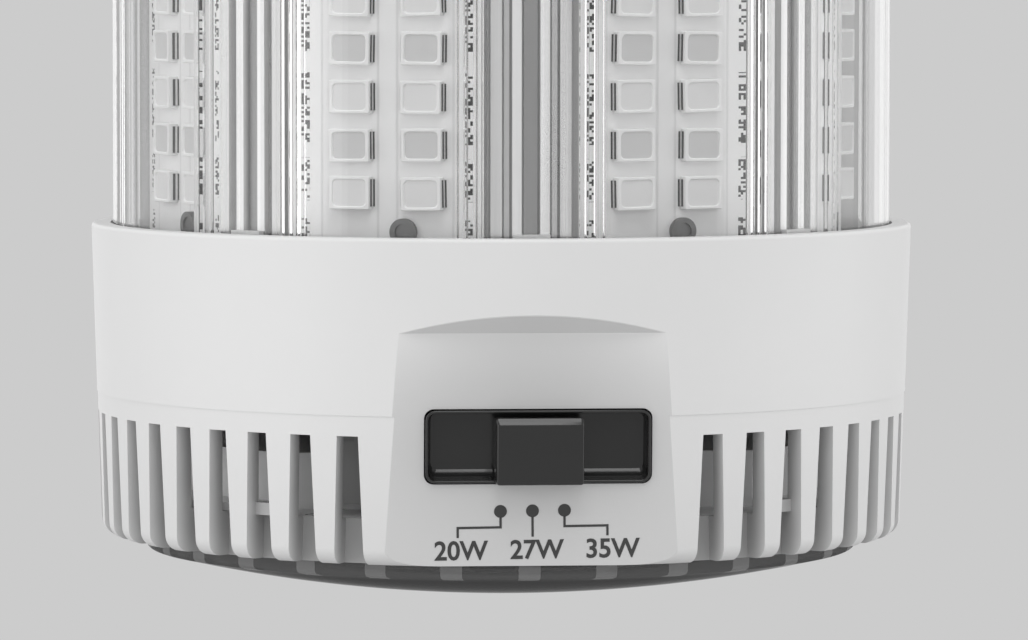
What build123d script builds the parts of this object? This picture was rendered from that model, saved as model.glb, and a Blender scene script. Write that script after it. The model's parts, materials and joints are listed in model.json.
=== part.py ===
from build123d import *
from math import cos, degrees, radians, sin, sqrt, tan
import os

os.makedirs("parts", exist_ok=True)

# LED lamp for a medium screw base, drawn base up as it hangs in its socket.
# The origin is the tip of the centre contact, +Z points out of the base and the switch faces -Y.
# Lengths are in millimetres and angles in degrees. An azimuth is counted from the switch towards +X.

# Lengths along the axis
base_height = 25.5  # tip of the centre contact to the open rim of the screw shell
housing_height = 52.5  # open rim of the screw shell to the lower rim of the base housing
window_length = 96.7  # clear tube that shows between the two white rims
collar_height = 26.42  # rim to lower edge of the end collar
lens_drop = 4.88  # lens below the collar's lower edge

# Clear cover tube
tube_radius = 33.2
tube_wall = 1.8
tube_insert = 5.0  # tube held inside each white end piece
tube_fit = 0.2  # radial room round the tube
tube_end_play = 0.3  # room over the tube's upper end
flute_width = 0.75
flute_height = 0.4
flutes_per_edge = 3
flute_edge_distance = 0.9  # edge of a ridge to the middle of the first flute

# LED boards and their LEDs
board_count = 8
board_width = 15.7
board_thickness = 1.2
board_gap = 0.2  # room between a board's edge and the ridge beside it
board_setback = 1.0  # end of the extrusion to the end of a board
led_length = 3.5
led_width = 2.8
led_height = 0.75
led_column_spacing = 6.0
led_row_count = 24
led_end_margin = 3.4  # first and last row from the white rims
led_to_tube = 1.25  # room between the outermost LED corner and the tube

# Rivets that hold the LED boards
rivet_offset = 1.4  # to the right of the board's middle
rivet_rim_distance = 0.3
rivet_head_radius = 1.1
rivet_head_height = 0.45
rivet_dimple_radius = 0.65
rivet_dimple_depth = 0.12
rivet_shank_radius = 0.6
rivet_grip = 2.2  # shank inside the extrusion
rivet_fit = 0.05

# Extruded aluminium core
core_wall = 3.0  # behind the board seats
ridge_to_tube = 0.7
ridge_relief = 0.45  # depth of the grooves along a ridge
groove_share = 0.17  # of a ridge's half width: half of the middle groove
bead_share = 0.47  # to the outer edge of a bead
lip_share = 0.72  # to the inner edge of a lip
slope_share = 0.06  # width of a sloped side
spoke_thickness = 1.6
hub_radius = 5.5
hub_bore_radius = 4.0

# End collar
collar_wall = 1.6
collar_narrowing = 0.8  # loss of radius from rim to lower edge
collar_step_depth = 0.06  # small step round the middle
collar_step_drop = 14.3
rim_round = 0.3
fin_round = 1.3
slot_count = 45
first_slot_azimuth = 25.4  # slot nearest to the pad, on each side
slot_length = 10.45
slot_top_width = 1.84
slot_end_width = 2.6
slot_depth = 2.3  # into the inner ring, behind the wall
pad_depth = 1.93  # pad below the round surface at its top
pad_drop = 7.6  # rim to the pad's top line
pad_tilt = 3.2
pad_ramp = 41.0
ledge_thickness = 1.6
ledge_width = 4.1  # tube seat, from the wall inward
tab_width = 3.0
tab_rise = 0.22  # locating tabs above the rim
tab_fit = 0.1
ring_height = 3.62  # inner ring above the collar's lower edge
ring_wall = 0.9  # behind the slots
ring_setback = 0.3  # ring above the fins' lower ends
lip_width = 0.4  # lip under the lens flange
lip_height = 0.8
hook_slots = (2, 11, 19)  # slots with a snap hook behind them, counted from the pad on each side
hook_width = 3.2  # wider than a slot, so a hook joins the fins on both sides
hook_reach = 0.6
hook_thickness = 0.35
hook_gap = 0.05

# End lens, its board and the heat spreader behind it
lens_fit = 0.2
lens_wall = 1.5
lens_lip = 1.2  # straight edge below the collar
lens_edge_round = 0.5
lens_rib_count = 30
lens_rib_width = 1.8
lens_rib_depth = 4.2  # from the lens's wall inward
end_board_thickness = 1.2
end_led_outer_distance = 22.0
end_led_outer_count = 12
end_led_inner_distance = 11.0
end_led_inner_count = 6
end_screw_distance = 17.0
end_screw_count = 3
spreader_height = 4.05
spreader_inset = 4.2  # body inside its flange
spreader_flange = 0.6
spreader_play = 0.5
spreader_hole_radius = 3.0
spreader_clearance = 3.2  # behind the switch board

# Selector switch in the pad
window_drop = 16.75  # rim to the window's middle
window_offset = 0.5  # window to the right of the pad's middle
window_height = 6.1
window_round = 0.8
window_end_room = 3.07  # window beyond the knob at each end of its travel
bezel_fit = 0.1
bezel_rim = 0.25
bezel_proud = 0.3  # in front of the pad
bezel_floor_depth = 1.2
bezel_flange = 0.8
bezel_flange_width = 0.75
pocket_side_slope = 0.25  # pocket's wall from mouth to floor
pocket_top_slope = 0.15
pocket_bottom_slope = 0.75
pocket_floor_round = 0.5
knob_width = 7.1
knob_height = 4.9
knob_drop = 0.3  # knob below the window's middle
knob_gap = 0.15  # round the knob, and between its cap and the bezel
knob_throw = 2.58  # travel to each side of the middle position
knob_proud = 1.8
knob_lift = 0.2  # knob above the pocket's floor
knob_round = 0.3
knob_edge_round = 0.2
lever_width = 1.4
lever_height = 2.0
lever_in_knob = 1.5
lever_in_case = 2.0
lever_fit = 0.2
case_end_wall = 1.8
case_height = 5.4
case_depth = 5.0
switch_board_left_margin = 4.4  # board beyond its screws
switch_board_right_margin = 1.8
switch_board_top = 7.2  # above the window's middle
switch_board_gap = 0.4  # above the inner ring
switch_board_thickness = 1.6
switch_boss_radius = 1.5
switch_boss_gap = 0.15  # between a boss and the bezel's flange
switch_boss_root = 0.6  # boss inside the collar's wall
connector_width = 6.0
connector_height = 4.0
connector_depth = 4.5
connector_over_spreader = 2.2  # connector's middle above the heat spreader

# Base housing
housing_wall = 1.8
shoulder_height = 17.0  # straight part above the housing's lower rim
shoulder_round = 9.0
neck_radius = 16.0
neck_height = 4.5
neck_round = 3.0
spigot_height = 8.5  # inside the screw shell
spigot_fit = 0.15
vent_count = 24
vent_width = 2.2
vent_height = 11.0

# Driver carrier and board
plate_thickness = 2.0
plate_fit = 0.15
plate_rim_height = 8.0
plate_rim_wall = 3.0
plate_hole_radius = 3.0
standoff_radius = 2.4
standoff_height = 3.0
standoff_edge_distance = 4.85  # middle of a standoff from the driver board's edge
driver_board_thickness = 1.6
driver_board_fit = 0.4

# Driver parts: footprint middle and size
capacitor_place = (-8.0, -8.0)
capacitor_radius = 5.0
capacitor_height = 16.0
transformer_place = (8.0, -7.0)
transformer_size = (16.0, 13.0, 12.0)
transformer_bobbin = (10.0, 15.0, 7.0)
choke_place = (-8.0, 5.0)
choke_radius = 4.5
choke_waist_radius = 3.3
choke_height = 8.0
choke_flange = 1.4
film_place = (6.0, 5.0)
film_size = (13.0, 6.0, 10.0)
bridge_place = (-2.0, 13.0)
bridge_size = (9.0, 6.5, 3.5)
varistor_place = (-16.0, -1.0)
varistor_radius = 4.0
varistor_thickness = 3.6
fuse_place = (-16.0, 7.0)
fuse_radius = 1.8
fuse_height = 9.0
sink_place = (20.5, 7.5)
sink_size = (2.0, 14.0, 13.0)
transistor_size = (4.5, 10.0, 10.0)
output_place = (8.0, 14.0)
output_radius = 4.0
output_height = 12.0
plug_offset = 2.0  # right of the axis
plug_edge_distance = 4.5  # plug from the driver board's front edge
plug_size = (7.5, 5.5, 6.0)

# Medium screw base
skirt_radius = 13.2
skirt_height = 3.0
thread_root_radius = 12.25
thread_pitch = 3.63
thread_turns = 3.6
thread_crest_drop = 0.05  # crest inside the skirt's radius
thread_base_width = 2.7
thread_crest_width = 0.8
shell_wall = 0.5
shell_shoulder_drop = 7.0  # contact tip to the end of the straight shell
shell_mouth_drop = 5.2
shell_mouth_radius = 9.6
insulator_fit = 0.2
insulator_top_radius = 5.2
insulator_foot = 2.0
contact_radius = 4.8
contact_flat_radius = 3.6
contact_height = 1.3
contact_bevel = 0.6
contact_stem_radius = 0.9
contact_stem_length = 8.2
stem_fit = 0.1

# Screws
axial_screw_radius = 1.2
axial_screw_length = 9.0
axial_head_radius = 2.3
axial_head_height = 1.5
lug_radius = 2.7
small_screw_radius = 0.8
small_screw_length = 4.0
small_head_radius = 1.5
small_head_height = 1.0
side_screw_radius = 1.2
side_head_radius = 2.2
side_head_height = 0.8
side_screw_count = 3
screw_clearance = 0.3
thread_fit = 0.05

# Inner leads
mains_lead_radius = 0.8
led_lead_radius = 0.45
switch_lead_radius = 1.0
lead_bend = 2.5
lead_gap = 0.2
live_landing = (-2.0, -0.5)  # on the driver board
neutral_landing = (-12.0, 12.0)

# Levels along the axis
z_skirt = -base_height
z_housing = z_skirt - housing_height
z_rim = z_housing - window_length
z_collar_end = z_rim - collar_height
z_apex = z_collar_end - lens_drop
z_core_low = z_rim - tube_insert
z_core_high = z_housing + tube_insert
z_step = z_rim - collar_step_drop
z_slot_top = z_collar_end + slot_length
z_pad_top = z_rim - pad_drop
z_window = z_rim - window_drop
z_ring_top = z_collar_end + ring_height
z_lip_top = z_collar_end + ring_setback + lip_height
z_end_board = z_ring_top - end_board_thickness
z_spreader_top = z_ring_top + spreader_flange + spreader_height
z_ledge_low = z_core_low - ledge_thickness
z_plate_top = z_core_high + plate_thickness
z_driver_low = z_plate_top + standoff_height
z_driver_top = z_driver_low + driver_board_thickness
z_shoulder = z_housing + shoulder_height
z_neck = z_skirt - neck_height
z_stem_end = -contact_height - contact_stem_length

# Radii
tube_bore_radius = tube_radius - tube_wall
collar_radius = tube_radius + tube_fit + collar_wall
collar_bore_radius = tube_radius + tube_fit
ridge_radius = tube_bore_radius - ridge_to_tube
thread_crest_radius = skirt_radius - thread_crest_drop
shell_bore_radius = thread_root_radius - shell_wall
spigot_radius = shell_bore_radius - spigot_fit
spigot_bore_radius = spigot_radius - housing_wall

# The LED face is as far out as the tube lets the outer LED corners go
sector = 360 / board_count
half_sector = sector / 2
led_half_span = (led_column_spacing + led_length) / 2
led_face = sqrt((tube_bore_radius - led_to_tube) ** 2 - led_half_span**2)
board_face = led_face - led_height
seat_distance = board_face - board_thickness
core_length = z_core_high - z_core_low
core_middle = (z_core_high + z_core_low) / 2
board_length = core_length - 2 * board_setback
led_row_pitch = (window_length - 2 * led_end_margin) / (led_row_count - 1)
ridge_root = seat_distance - core_wall
seat_half = seat_distance * sin(radians(half_sector))
ridge_half = seat_half - board_width / 2 * cos(radians(half_sector)) - board_gap
channel_distance = (ridge_root + ridge_radius) / 2
channel_azimuths = [sector * (2 * step + 1) for step in range(board_count // 2)]
board_azimuths = [half_sector + sector * step for step in range(board_count)]
ridge_azimuths = [sector * step for step in range(board_count)]

# Switch stack, counted inward from the pad's surface
pad_distance = collar_radius - pad_depth
pad_middle_distance = pad_distance - (z_pad_top - z_window) * tan(radians(pad_tilt))
pad_wall = collar_wall * cos(radians(pad_tilt))
case_front = pad_wall + bezel_flange
case_back = case_front + case_depth
switch_board_back = case_back + switch_board_thickness
window_width = knob_width + 2 * knob_throw + 2 * window_end_room
pocket_width = window_width - 2 * bezel_fit - 2 * bezel_rim
pocket_height = window_height - 2 * bezel_fit - 2 * bezel_rim
knob_top = knob_height / 2 - knob_drop
knob_foot_low = pocket_bottom_slope + knob_gap - pocket_height / 2
lever_slot = lever_width + 2 * knob_throw + 2 * lever_fit
case_width = lever_slot + 2 * case_end_wall
switch_boss_spacing = window_width + 2 * (bezel_flange_width + switch_boss_gap + switch_boss_radius)
switch_board_left = switch_boss_spacing / 2 + switch_board_left_margin
switch_board_right = switch_boss_spacing / 2 + switch_board_right_margin
connector_rise = z_spreader_top + connector_over_spreader - z_window
switch_board_bottom = (z_window - z_ring_top) / cos(radians(pad_tilt)) - switch_board_gap
spreader_front = pad_middle_distance - switch_board_back - spreader_clearance


# Slots, counted from the pad towards +X
slot_pitch = (360 - 2 * first_slot_azimuth) / (slot_count - 1)
slot_azimuths = [first_slot_azimuth + slot_pitch * step for step in range(slot_count)]

# Driver carrier and board inside the base housing
housing_bore_radius = collar_bore_radius
plate_radius = housing_bore_radius - plate_fit
plate_rim_bore = plate_radius - plate_rim_wall
driver_board_radius = plate_rim_bore - driver_board_fit
standoff_distance = driver_board_radius - standoff_edge_distance
plug_place = (plug_offset, plug_edge_distance + plug_size[1] / 2 - driver_board_radius)
z_spigot = z_skirt + spigot_height
z_side_screw = z_plate_top + plate_rim_height / 2
side_screw_azimuths = [360 / side_screw_count * (step + 0.5) for step in range(side_screw_count)]


# Helpers
def facing(distance, level):
    """Frame on the front of the lamp: X to the right, Y up, Z outward."""
    return Pos(0, -distance, level) * Rot(90, 0, 0)


def around(azimuth):
    """Turn about the lamp's axis."""
    return Rot(0, 0, azimuth)


def rod(radius, height):
    """Round bar that stands on its own origin."""
    return Cylinder(radius, height, align=(Align.CENTER, Align.CENTER, Align.MIN))


def block(width, depth, height):
    """Box that stands on its own origin."""
    return Box(width, depth, height, align=(Align.CENTER, Align.CENTER, Align.MIN))


def turned(*points):
    """Solid of revolution from (radius, level) points."""
    return revolve(Plane.XZ * make_face(Polyline(*points, close=True)), Axis.Z)


def screw(shank_radius, shank_length, head_radius, head_height):
    """Pan head screw: the shank points down from its own origin and the head stands on it."""
    return rod(head_radius, head_height) + Pos(0, 0, -shank_length) * rod(shank_radius, shank_length)


def lead(radius, bend, *points):
    """Round lead along straight runs joined by arcs."""
    path = FilletPolyline(*points, radius=bend)
    start = Plane(origin=path @ 0, z_dir=path % 0)
    return sweep(start * Circle(radius), path=path)


def collar_bore(level):
    """Inner radius of the collar's tapered wall."""
    return collar_bore_radius - collar_narrowing * (z_rim - level) / collar_height


def collar_skin(level):
    """Outer radius of the collar above its step."""
    return collar_radius - collar_narrowing * (z_rim - level) / collar_height


# Radii inside the collar's lower end
slot_floor = collar_skin(z_collar_end) - slot_depth
ring_bore_radius = slot_floor - ring_wall
lip_bore_radius = ring_bore_radius - lip_width
spreader_flange_radius = collar_bore(z_ring_top) - spreader_play
spreader_radius = spreader_flange_radius - spreader_inset

# Frames of the switch on the pad and of its plug: X to the right, Y up the pad, Z outward
pad_frame = Pos(window_offset, -pad_middle_distance, z_window) * Rot(90 + pad_tilt, 0, 0)
connector_frame = pad_frame * Pos(0, connector_rise, -switch_board_back - connector_depth)


# Extruded core
def ridge_outline():
    """Ridge between two boards: a middle groove, two beads, two valleys and two lips."""
    groove = groove_share * ridge_half
    bead = bead_share * ridge_half
    lip = lip_share * ridge_half
    top = ridge_radius
    low = ridge_radius - ridge_relief
    slope = slope_share * ridge_half
    half = [
        (groove, low),
        (groove + slope, top),
        (bead, top),
        (bead + slope, low),
        (lip - slope, low),
        (lip, top),
        (ridge_half, top),
        (ridge_half, ridge_root),
    ]
    right = [(x, -y) for x, y in half]
    left = [(-x, -y) for x, y in reversed(half)]
    return make_face(Polyline(*(left + right), close=True))


def heatsink_core():
    seat_polygon = RegularPolygon(seat_distance, board_count, major_radius=False)
    inner_polygon = RegularPolygon(ridge_root, board_count, major_radius=False)
    profile = seat_polygon - inner_polygon
    profile += Circle(hub_radius) - Circle(hub_bore_radius)
    spoke_start = (hub_radius + hub_bore_radius) / 2
    spoke_end = ridge_root + core_wall / 2
    spoke = Pos(0, -(spoke_start + spoke_end) / 2) * Rectangle(spoke_thickness, spoke_end - spoke_start)
    for azimuth in ridge_azimuths:
        profile += around(azimuth) * ridge_outline()
        profile += around(azimuth) * spoke
    for azimuth in channel_azimuths:
        profile -= around(azimuth) * Pos(0, -channel_distance) * Circle(axial_screw_radius + thread_fit)
    core = Pos(0, 0, z_core_low) * extrude(profile, core_length)
    hole = Pos(0, 0, -rivet_grip) * rod(rivet_shank_radius + rivet_fit, rivet_grip)
    return core - [place * hole for place in rivet_places(seat_distance)]


# LED boards, LEDs and rivets
def rivet_places(distance):
    levels = (z_rim + rivet_rim_distance, z_housing - rivet_rim_distance)
    return [
        around(azimuth) * facing(distance, level) * Pos(rivet_offset, 0, 0)
        for azimuth in board_azimuths
        for level in levels
    ]


def led_board(azimuth):
    strip = block(board_width, board_length, board_thickness)
    board = around(azimuth) * facing(seat_distance, core_middle) * strip
    hole = rod(rivet_shank_radius + rivet_fit, board_thickness)
    return board - [place * hole for place in rivet_places(seat_distance)]


def board_leds(azimuth):
    package = block(led_length, led_width, led_height)
    leds = []
    for row in range(led_row_count):
        level = z_rim + led_end_margin + row * led_row_pitch
        for side in (-1, 1):
            place = facing(board_face, level) * Pos(side * led_column_spacing / 2, 0, 0)
            leds.append(around(azimuth) * place * package)
    return Compound(leds)


def board_rivets():
    head = rod(rivet_head_radius, rivet_head_height)
    head -= Pos(0, 0, rivet_head_height - rivet_dimple_depth) * rod(rivet_dimple_radius, rivet_dimple_depth)
    shank_length = board_thickness + rivet_grip
    rivet = head + Pos(0, 0, -shank_length) * rod(rivet_shank_radius, shank_length)
    return Compound([place * rivet for place in rivet_places(board_face)])


# Clear cover tube with flutes inside, along both sides of each ridge
def cover_tube():
    length = core_length - tube_end_play
    profile = Circle(tube_radius) - Circle(tube_bore_radius)
    root = tube_bore_radius + flute_height / 2
    crest = tube_bore_radius - flute_height
    flute = make_face(
        Polyline(
            (-flute_width / 2, -root),
            (-flute_width / 4, -crest),
            (flute_width / 4, -crest),
            (flute_width / 2, -root),
            close=True,
        )
    )
    for azimuth in ridge_azimuths:
        for side in (-1, 1):
            for step in range(flutes_per_edge):
                offset = ridge_half + flute_edge_distance + flute_width * step
                profile += around(azimuth + side * degrees(offset / tube_bore_radius)) * flute
    return Pos(0, 0, z_core_low) * extrude(profile, length)


# End collar
def pad_block(inset):
    """All that lies in front of the pad and its ramp, moved inward by inset."""
    distance = pad_distance - inset
    far = 2 * collar_radius
    reach = 2 * collar_height
    outline = Polyline(
        (-distance, z_pad_top),
        (-distance + reach * tan(radians(pad_tilt)), z_pad_top - reach),
        (-far, z_pad_top - reach),
        (-far, z_pad_top + (far - distance) * tan(radians(pad_ramp))),
        close=True,
    )
    return extrude(Plane.YZ * make_face(outline), collar_radius, both=True)


def collar_body():
    """Tapered outer form with the pad cut into it."""
    end_radius = collar_skin(z_collar_end) - collar_step_depth
    body = turned(
        (0, z_rim),
        (collar_radius, z_rim),
        (collar_skin(z_step), z_step),
        (collar_skin(z_step) - collar_step_depth, z_step),
        (end_radius, z_collar_end),
        (0, z_collar_end),
    )
    circles = body.edges().filter_by(GeomType.CIRCLE).sort_by(Axis.Z)
    body = fillet(circles[0], fin_round)
    body = fillet(body.edges().filter_by(GeomType.CIRCLE).sort_by(Axis.Z)[-1], rim_round)
    return body - pad_block(0)


def collar_cavity():
    """Tube seat, tapered space behind the wall, and the mouth that holds the lens."""
    over = z_rim + rim_round
    under = z_collar_end - ring_setback
    space = turned(
        (0, over),
        (collar_bore_radius, over),
        (collar_bore_radius, z_core_low),
        (collar_bore(z_ring_top), z_ring_top),
        (0, z_ring_top),
    )
    space -= pad_block(collar_wall)
    mouth = turned(
        (0, z_ring_top),
        (ring_bore_radius, z_ring_top),
        (ring_bore_radius, z_lip_top),
        (lip_bore_radius, z_lip_top),
        (lip_bore_radius, under),
        (0, under),
    )
    return space + mouth


def collar_slots():
    """Slots that widen towards the open lower end and stop at the inner ring."""
    top_half = slot_top_width / 2
    depth = slot_length + fin_round
    end_half = top_half + (slot_end_width - slot_top_width) / 2 * depth / slot_length
    outline = Polyline((-top_half, 0), (top_half, 0), (end_half, -depth), (-end_half, -depth), close=True)
    cutter = facing(slot_floor, z_slot_top) * extrude(make_face(outline), slot_depth + collar_wall)
    return [around(azimuth) * cutter for azimuth in slot_azimuths]


def collar_seat():
    """Ledge under the tube and the core, with screw lugs and locating tabs."""
    ledge_bore = collar_bore_radius - ledge_width
    root = collar_bore_radius + collar_wall / 4
    seat = turned(
        (ledge_bore, z_core_low),
        (root, z_core_low),
        (root, z_ledge_low),
        (ledge_bore, z_ledge_low),
    )
    bridge = collar_bore_radius - channel_distance
    tab_length = tube_insert + tab_rise
    tab_depth = ridge_to_tube - 2 * tab_fit
    for azimuth in channel_azimuths:
        place = around(azimuth) * Pos(0, -channel_distance, z_ledge_low)
        seat += place * rod(lug_radius, ledge_thickness)
        seat += place * Pos(0, -bridge / 2, 0) * block(2 * lug_radius, bridge, ledge_thickness)
    for azimuth in ridge_azimuths:
        place = around(azimuth) * Pos(0, -(ridge_radius + tab_fit + tab_depth / 2), z_core_low)
        seat += place * block(tab_width, tab_depth, tab_length)
    for azimuth in channel_azimuths:
        hole = rod(axial_screw_radius + screw_clearance, ledge_thickness)
        seat -= around(azimuth) * Pos(0, -channel_distance, z_ledge_low) * hole
    return seat


def collar_hooks():
    """Snap hooks on the inner ring that hold the heat spreader's flange."""
    wall = collar_bore(z_ring_top) + collar_wall / 4
    post_start = spreader_flange_radius + hook_gap
    over = spreader_flange + hook_gap
    post = block(hook_width, wall - post_start, over + hook_thickness)
    post = Pos(0, -(post_start + wall) / 2, z_ring_top) * post
    tip_start = spreader_flange_radius - hook_reach
    tip = block(hook_width, wall - tip_start, hook_thickness)
    tip = Pos(0, -(tip_start + wall) / 2, z_ring_top + over) * tip
    azimuths = [side * slot_azimuths[slot] for slot in hook_slots for side in (-1, 1)]
    return [around(azimuth) * (post + tip) for azimuth in azimuths]


def switch_boss_places(depth):
    return [pad_frame * Pos(side * switch_boss_spacing / 2, 0, -depth) for side in (-1, 1)]


def end_collar():
    collar = collar_body() - collar_cavity()
    collar -= collar_slots()
    boss_length = case_back - pad_wall + switch_boss_root
    bosses = [place * rod(switch_boss_radius, boss_length) for place in switch_boss_places(case_back)]
    collar = collar + collar_seat() + collar_hooks() + bosses
    pilot = rod(small_screw_radius + thread_fit, small_screw_length)
    collar -= [place * pilot for place in switch_boss_places(case_back)]
    opening = RectangleRounded(window_width, window_height, window_round)
    return collar - pad_frame * extrude(opening, 2 * collar_wall, both=True)


# Selector switch
def selector_bezel():
    width = window_width - 2 * bezel_fit
    height = window_height - 2 * bezel_fit
    plug = Pos(0, 0, -pad_wall) * extrude(RectangleRounded(width, height, window_round), pad_wall + bezel_proud)
    flange_outline = RectangleRounded(
        window_width + 2 * bezel_flange_width, window_height + 2 * bezel_flange_width, window_round
    )
    flange = Pos(0, 0, -case_front) * extrude(flange_outline, bezel_flange)
    mouth = Pos(0, 0, bezel_proud) * RectangleRounded(pocket_width, pocket_height, window_round - bezel_rim)
    floor_width = pocket_width - 2 * pocket_side_slope
    floor_height = pocket_height - pocket_top_slope - pocket_bottom_slope
    floor_rise = (pocket_bottom_slope - pocket_top_slope) / 2
    floor = Pos(0, floor_rise, -bezel_floor_depth) * RectangleRounded(floor_width, floor_height, pocket_floor_round)
    pocket = loft([floor, mouth])
    slot = Pos(0, 0, -case_front) * block(lever_slot, lever_height + 2 * lever_fit, case_front)
    return pad_frame * (plug + flange - pocket - slot)


def selector_knob():
    floor = bezel_floor_depth - knob_lift
    cap_back = bezel_proud + knob_gap
    cap = extrude(RectangleRounded(knob_width, knob_height, knob_round), knob_proud - cap_back)
    cap = Pos(0, -knob_drop, cap_back) * fillet(cap.edges().group_by(Axis.Z)[-1], knob_edge_round)
    foot_height = knob_top - knob_foot_low
    foot = Pos(0, (knob_top + knob_foot_low) / 2, -floor) * block(knob_width, foot_height, floor + cap_back)
    socket = Pos(0, 0, -floor) * block(lever_width, lever_height, lever_in_knob)
    return pad_frame * (cap + foot - socket)


def switch_lever():
    bottom = case_front + lever_in_case
    top = bezel_floor_depth - knob_lift - lever_in_knob
    return pad_frame * Pos(0, 0, -bottom) * block(lever_width, lever_height, bottom - top)


def switch_case():
    case = Pos(0, 0, -case_back) * block(case_width, case_height, case_depth)
    depth = lever_in_case + lever_fit
    slot = Pos(0, 0, -case_front - depth) * block(lever_slot, lever_height + 2 * lever_fit, depth)
    return pad_frame * (case - slot)


def switch_board():
    width = switch_board_left + switch_board_right
    height = switch_board_top + switch_board_bottom
    across = (switch_board_right - switch_board_left) / 2
    up = (switch_board_top - switch_board_bottom) / 2
    board = pad_frame * Pos(across, up, -switch_board_back) * block(width, height, switch_board_thickness)
    hole = rod(small_screw_radius + screw_clearance, switch_board_thickness)
    return board - [place * hole for place in switch_boss_places(switch_board_back)]


def switch_board_screws():
    turned_over = Rot(180, 0, 0) * screw(
        small_screw_radius, switch_board_thickness + small_screw_length - screw_clearance,
        small_head_radius, small_head_height,
    )
    return Compound([place * turned_over for place in switch_boss_places(switch_board_back)])


def switch_connector():
    return connector_frame * block(connector_width, connector_height, connector_depth)


# End board, heat spreader and lens
def end_screw_places(level):
    step = 360 / end_screw_count
    azimuths = [step * (count + 0.5) for count in range(end_screw_count)]
    return [around(azimuth) * Pos(0, -end_screw_distance, level) for azimuth in azimuths]


def end_heat_spreader():
    body = turned(
        (spreader_hole_radius, z_ring_top),
        (spreader_flange_radius, z_ring_top),
        (spreader_flange_radius, z_ring_top + spreader_flange),
        (spreader_radius, z_ring_top + spreader_flange),
        (spreader_radius, z_spreader_top),
        (spreader_hole_radius, z_spreader_top),
    )
    front = Pos(0, -spreader_front - collar_radius / 2, z_ring_top)
    body -= front * block(2 * collar_radius, collar_radius, 2 * spreader_height)
    pilot = rod(small_screw_radius + thread_fit, small_screw_length)
    return body - [place * pilot for place in end_screw_places(z_ring_top)]


def end_board():
    disc = Pos(0, 0, z_end_board) * rod(ring_bore_radius - lens_fit, end_board_thickness)
    hole = rod(small_screw_radius + screw_clearance, end_board_thickness)
    return disc - [place * hole for place in end_screw_places(z_end_board)]


def end_board_screws():
    length = end_board_thickness + small_screw_length - screw_clearance
    turned_over = Rot(180, 0, 0) * screw(small_screw_radius, length, small_head_radius, small_head_height)
    return Compound([place * turned_over for place in end_screw_places(z_end_board)])


def end_leds():
    package = block(led_length, led_width, led_height)
    leds = []
    rings = ((end_led_outer_distance, end_led_outer_count), (end_led_inner_distance, end_led_inner_count))
    for distance, count in rings:
        for step in range(count):
            place = around(360 / count * step) * Pos(0, -distance, z_end_board - led_height)
            leds.append(place * package)
    return Compound(leds)


def end_lens():
    flange_radius = ring_bore_radius - lens_fit
    radius = lip_bore_radius - lens_fit
    inner = radius - lens_wall
    z_edge = z_collar_end - lens_lip
    rise = z_edge - z_apex
    cap_radius = (radius**2 + rise**2) / (2 * rise)
    z_centre = z_apex + cap_radius

    def cap(distance, sphere):
        return (distance, z_centre - sqrt(sphere**2 - distance**2))

    hollow_radius = cap_radius - lens_wall
    outline = [
        ThreePointArc((0, z_apex), cap(radius / 2, cap_radius), (radius, z_edge)),
        Polyline(
            (radius, z_edge),
            (radius, z_lip_top),
            (flange_radius, z_lip_top),
            (flange_radius, z_end_board),
            (inner, z_end_board),
            cap(inner, hollow_radius),
        ),
        ThreePointArc(cap(inner, hollow_radius), cap(inner / 2, hollow_radius), (0, z_apex + lens_wall)),
        Line((0, z_apex + lens_wall), (0, z_apex)),
    ]
    section = make_face(Curve() + outline)
    corner = section.vertices().sort_by_distance((radius, z_edge))[0]
    lens = revolve(Plane.XZ * fillet(corner, lens_edge_round), Axis.Z)
    rib_end = cap(inner - lens_rib_depth, hollow_radius)
    z_rib = rib_end[1] - lens_wall / 3
    rib_root = inner + lens_wall / 4
    rib = Pos(0, -(rib_end[0] + rib_root) / 2, z_rib) * block(
        lens_rib_width, rib_root - rib_end[0], z_lip_top - z_rib
    )
    return lens + [around(360 / lens_rib_count * step) * rib for step in range(lens_rib_count)]


def collar_screws():
    turned_over = Rot(180, 0, 0) * screw(
        axial_screw_radius, axial_screw_length, axial_head_radius, axial_head_height
    )
    place = Pos(0, -channel_distance, z_ledge_low)
    return Compound([around(azimuth) * place * turned_over for azimuth in channel_azimuths])


# Base housing
def housing_inner_level(radius):
    """Level of the cone's inner face at a radius."""
    slope = (z_neck - z_shoulder) / (collar_radius - neck_radius)
    outer = z_shoulder + (collar_radius - radius) * slope
    return outer - housing_wall * sqrt(1 + slope**2)


def base_housing():
    outside = FilletPolyline(
        (collar_radius, z_housing),
        (collar_radius, z_shoulder),
        (neck_radius, z_neck),
        (neck_radius, z_skirt),
        radius=[shoulder_round, neck_round],
    )
    inside = Polyline(
        (neck_radius, z_skirt),
        (spigot_radius, z_skirt),
        (spigot_radius, z_spigot),
        (spigot_bore_radius, z_spigot),
        (spigot_bore_radius, housing_inner_level(spigot_bore_radius)),
        (housing_bore_radius, housing_inner_level(housing_bore_radius)),
        (housing_bore_radius, z_housing),
        (collar_radius, z_housing),
    )
    housing = revolve(Plane.XZ * make_face(outside + inside), Axis.Z)
    z_vent = (z_shoulder + z_neck) / 2
    vent = facing(spigot_radius, z_vent) * block(vent_width, vent_height, collar_radius)
    housing -= [around(360 / vent_count * (step + 0.5)) * vent for step in range(vent_count)]
    hole = Pos(0, 0, -collar_wall) * rod(side_screw_radius + screw_clearance, 3 * collar_wall)
    recess = rod(side_head_radius + screw_clearance, collar_wall)
    recess = Pos(0, 0, collar_wall - side_head_height) * recess
    cutter = facing(housing_bore_radius, z_side_screw) * (hole + recess)
    return housing - [around(azimuth) * cutter for azimuth in side_screw_azimuths]


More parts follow.
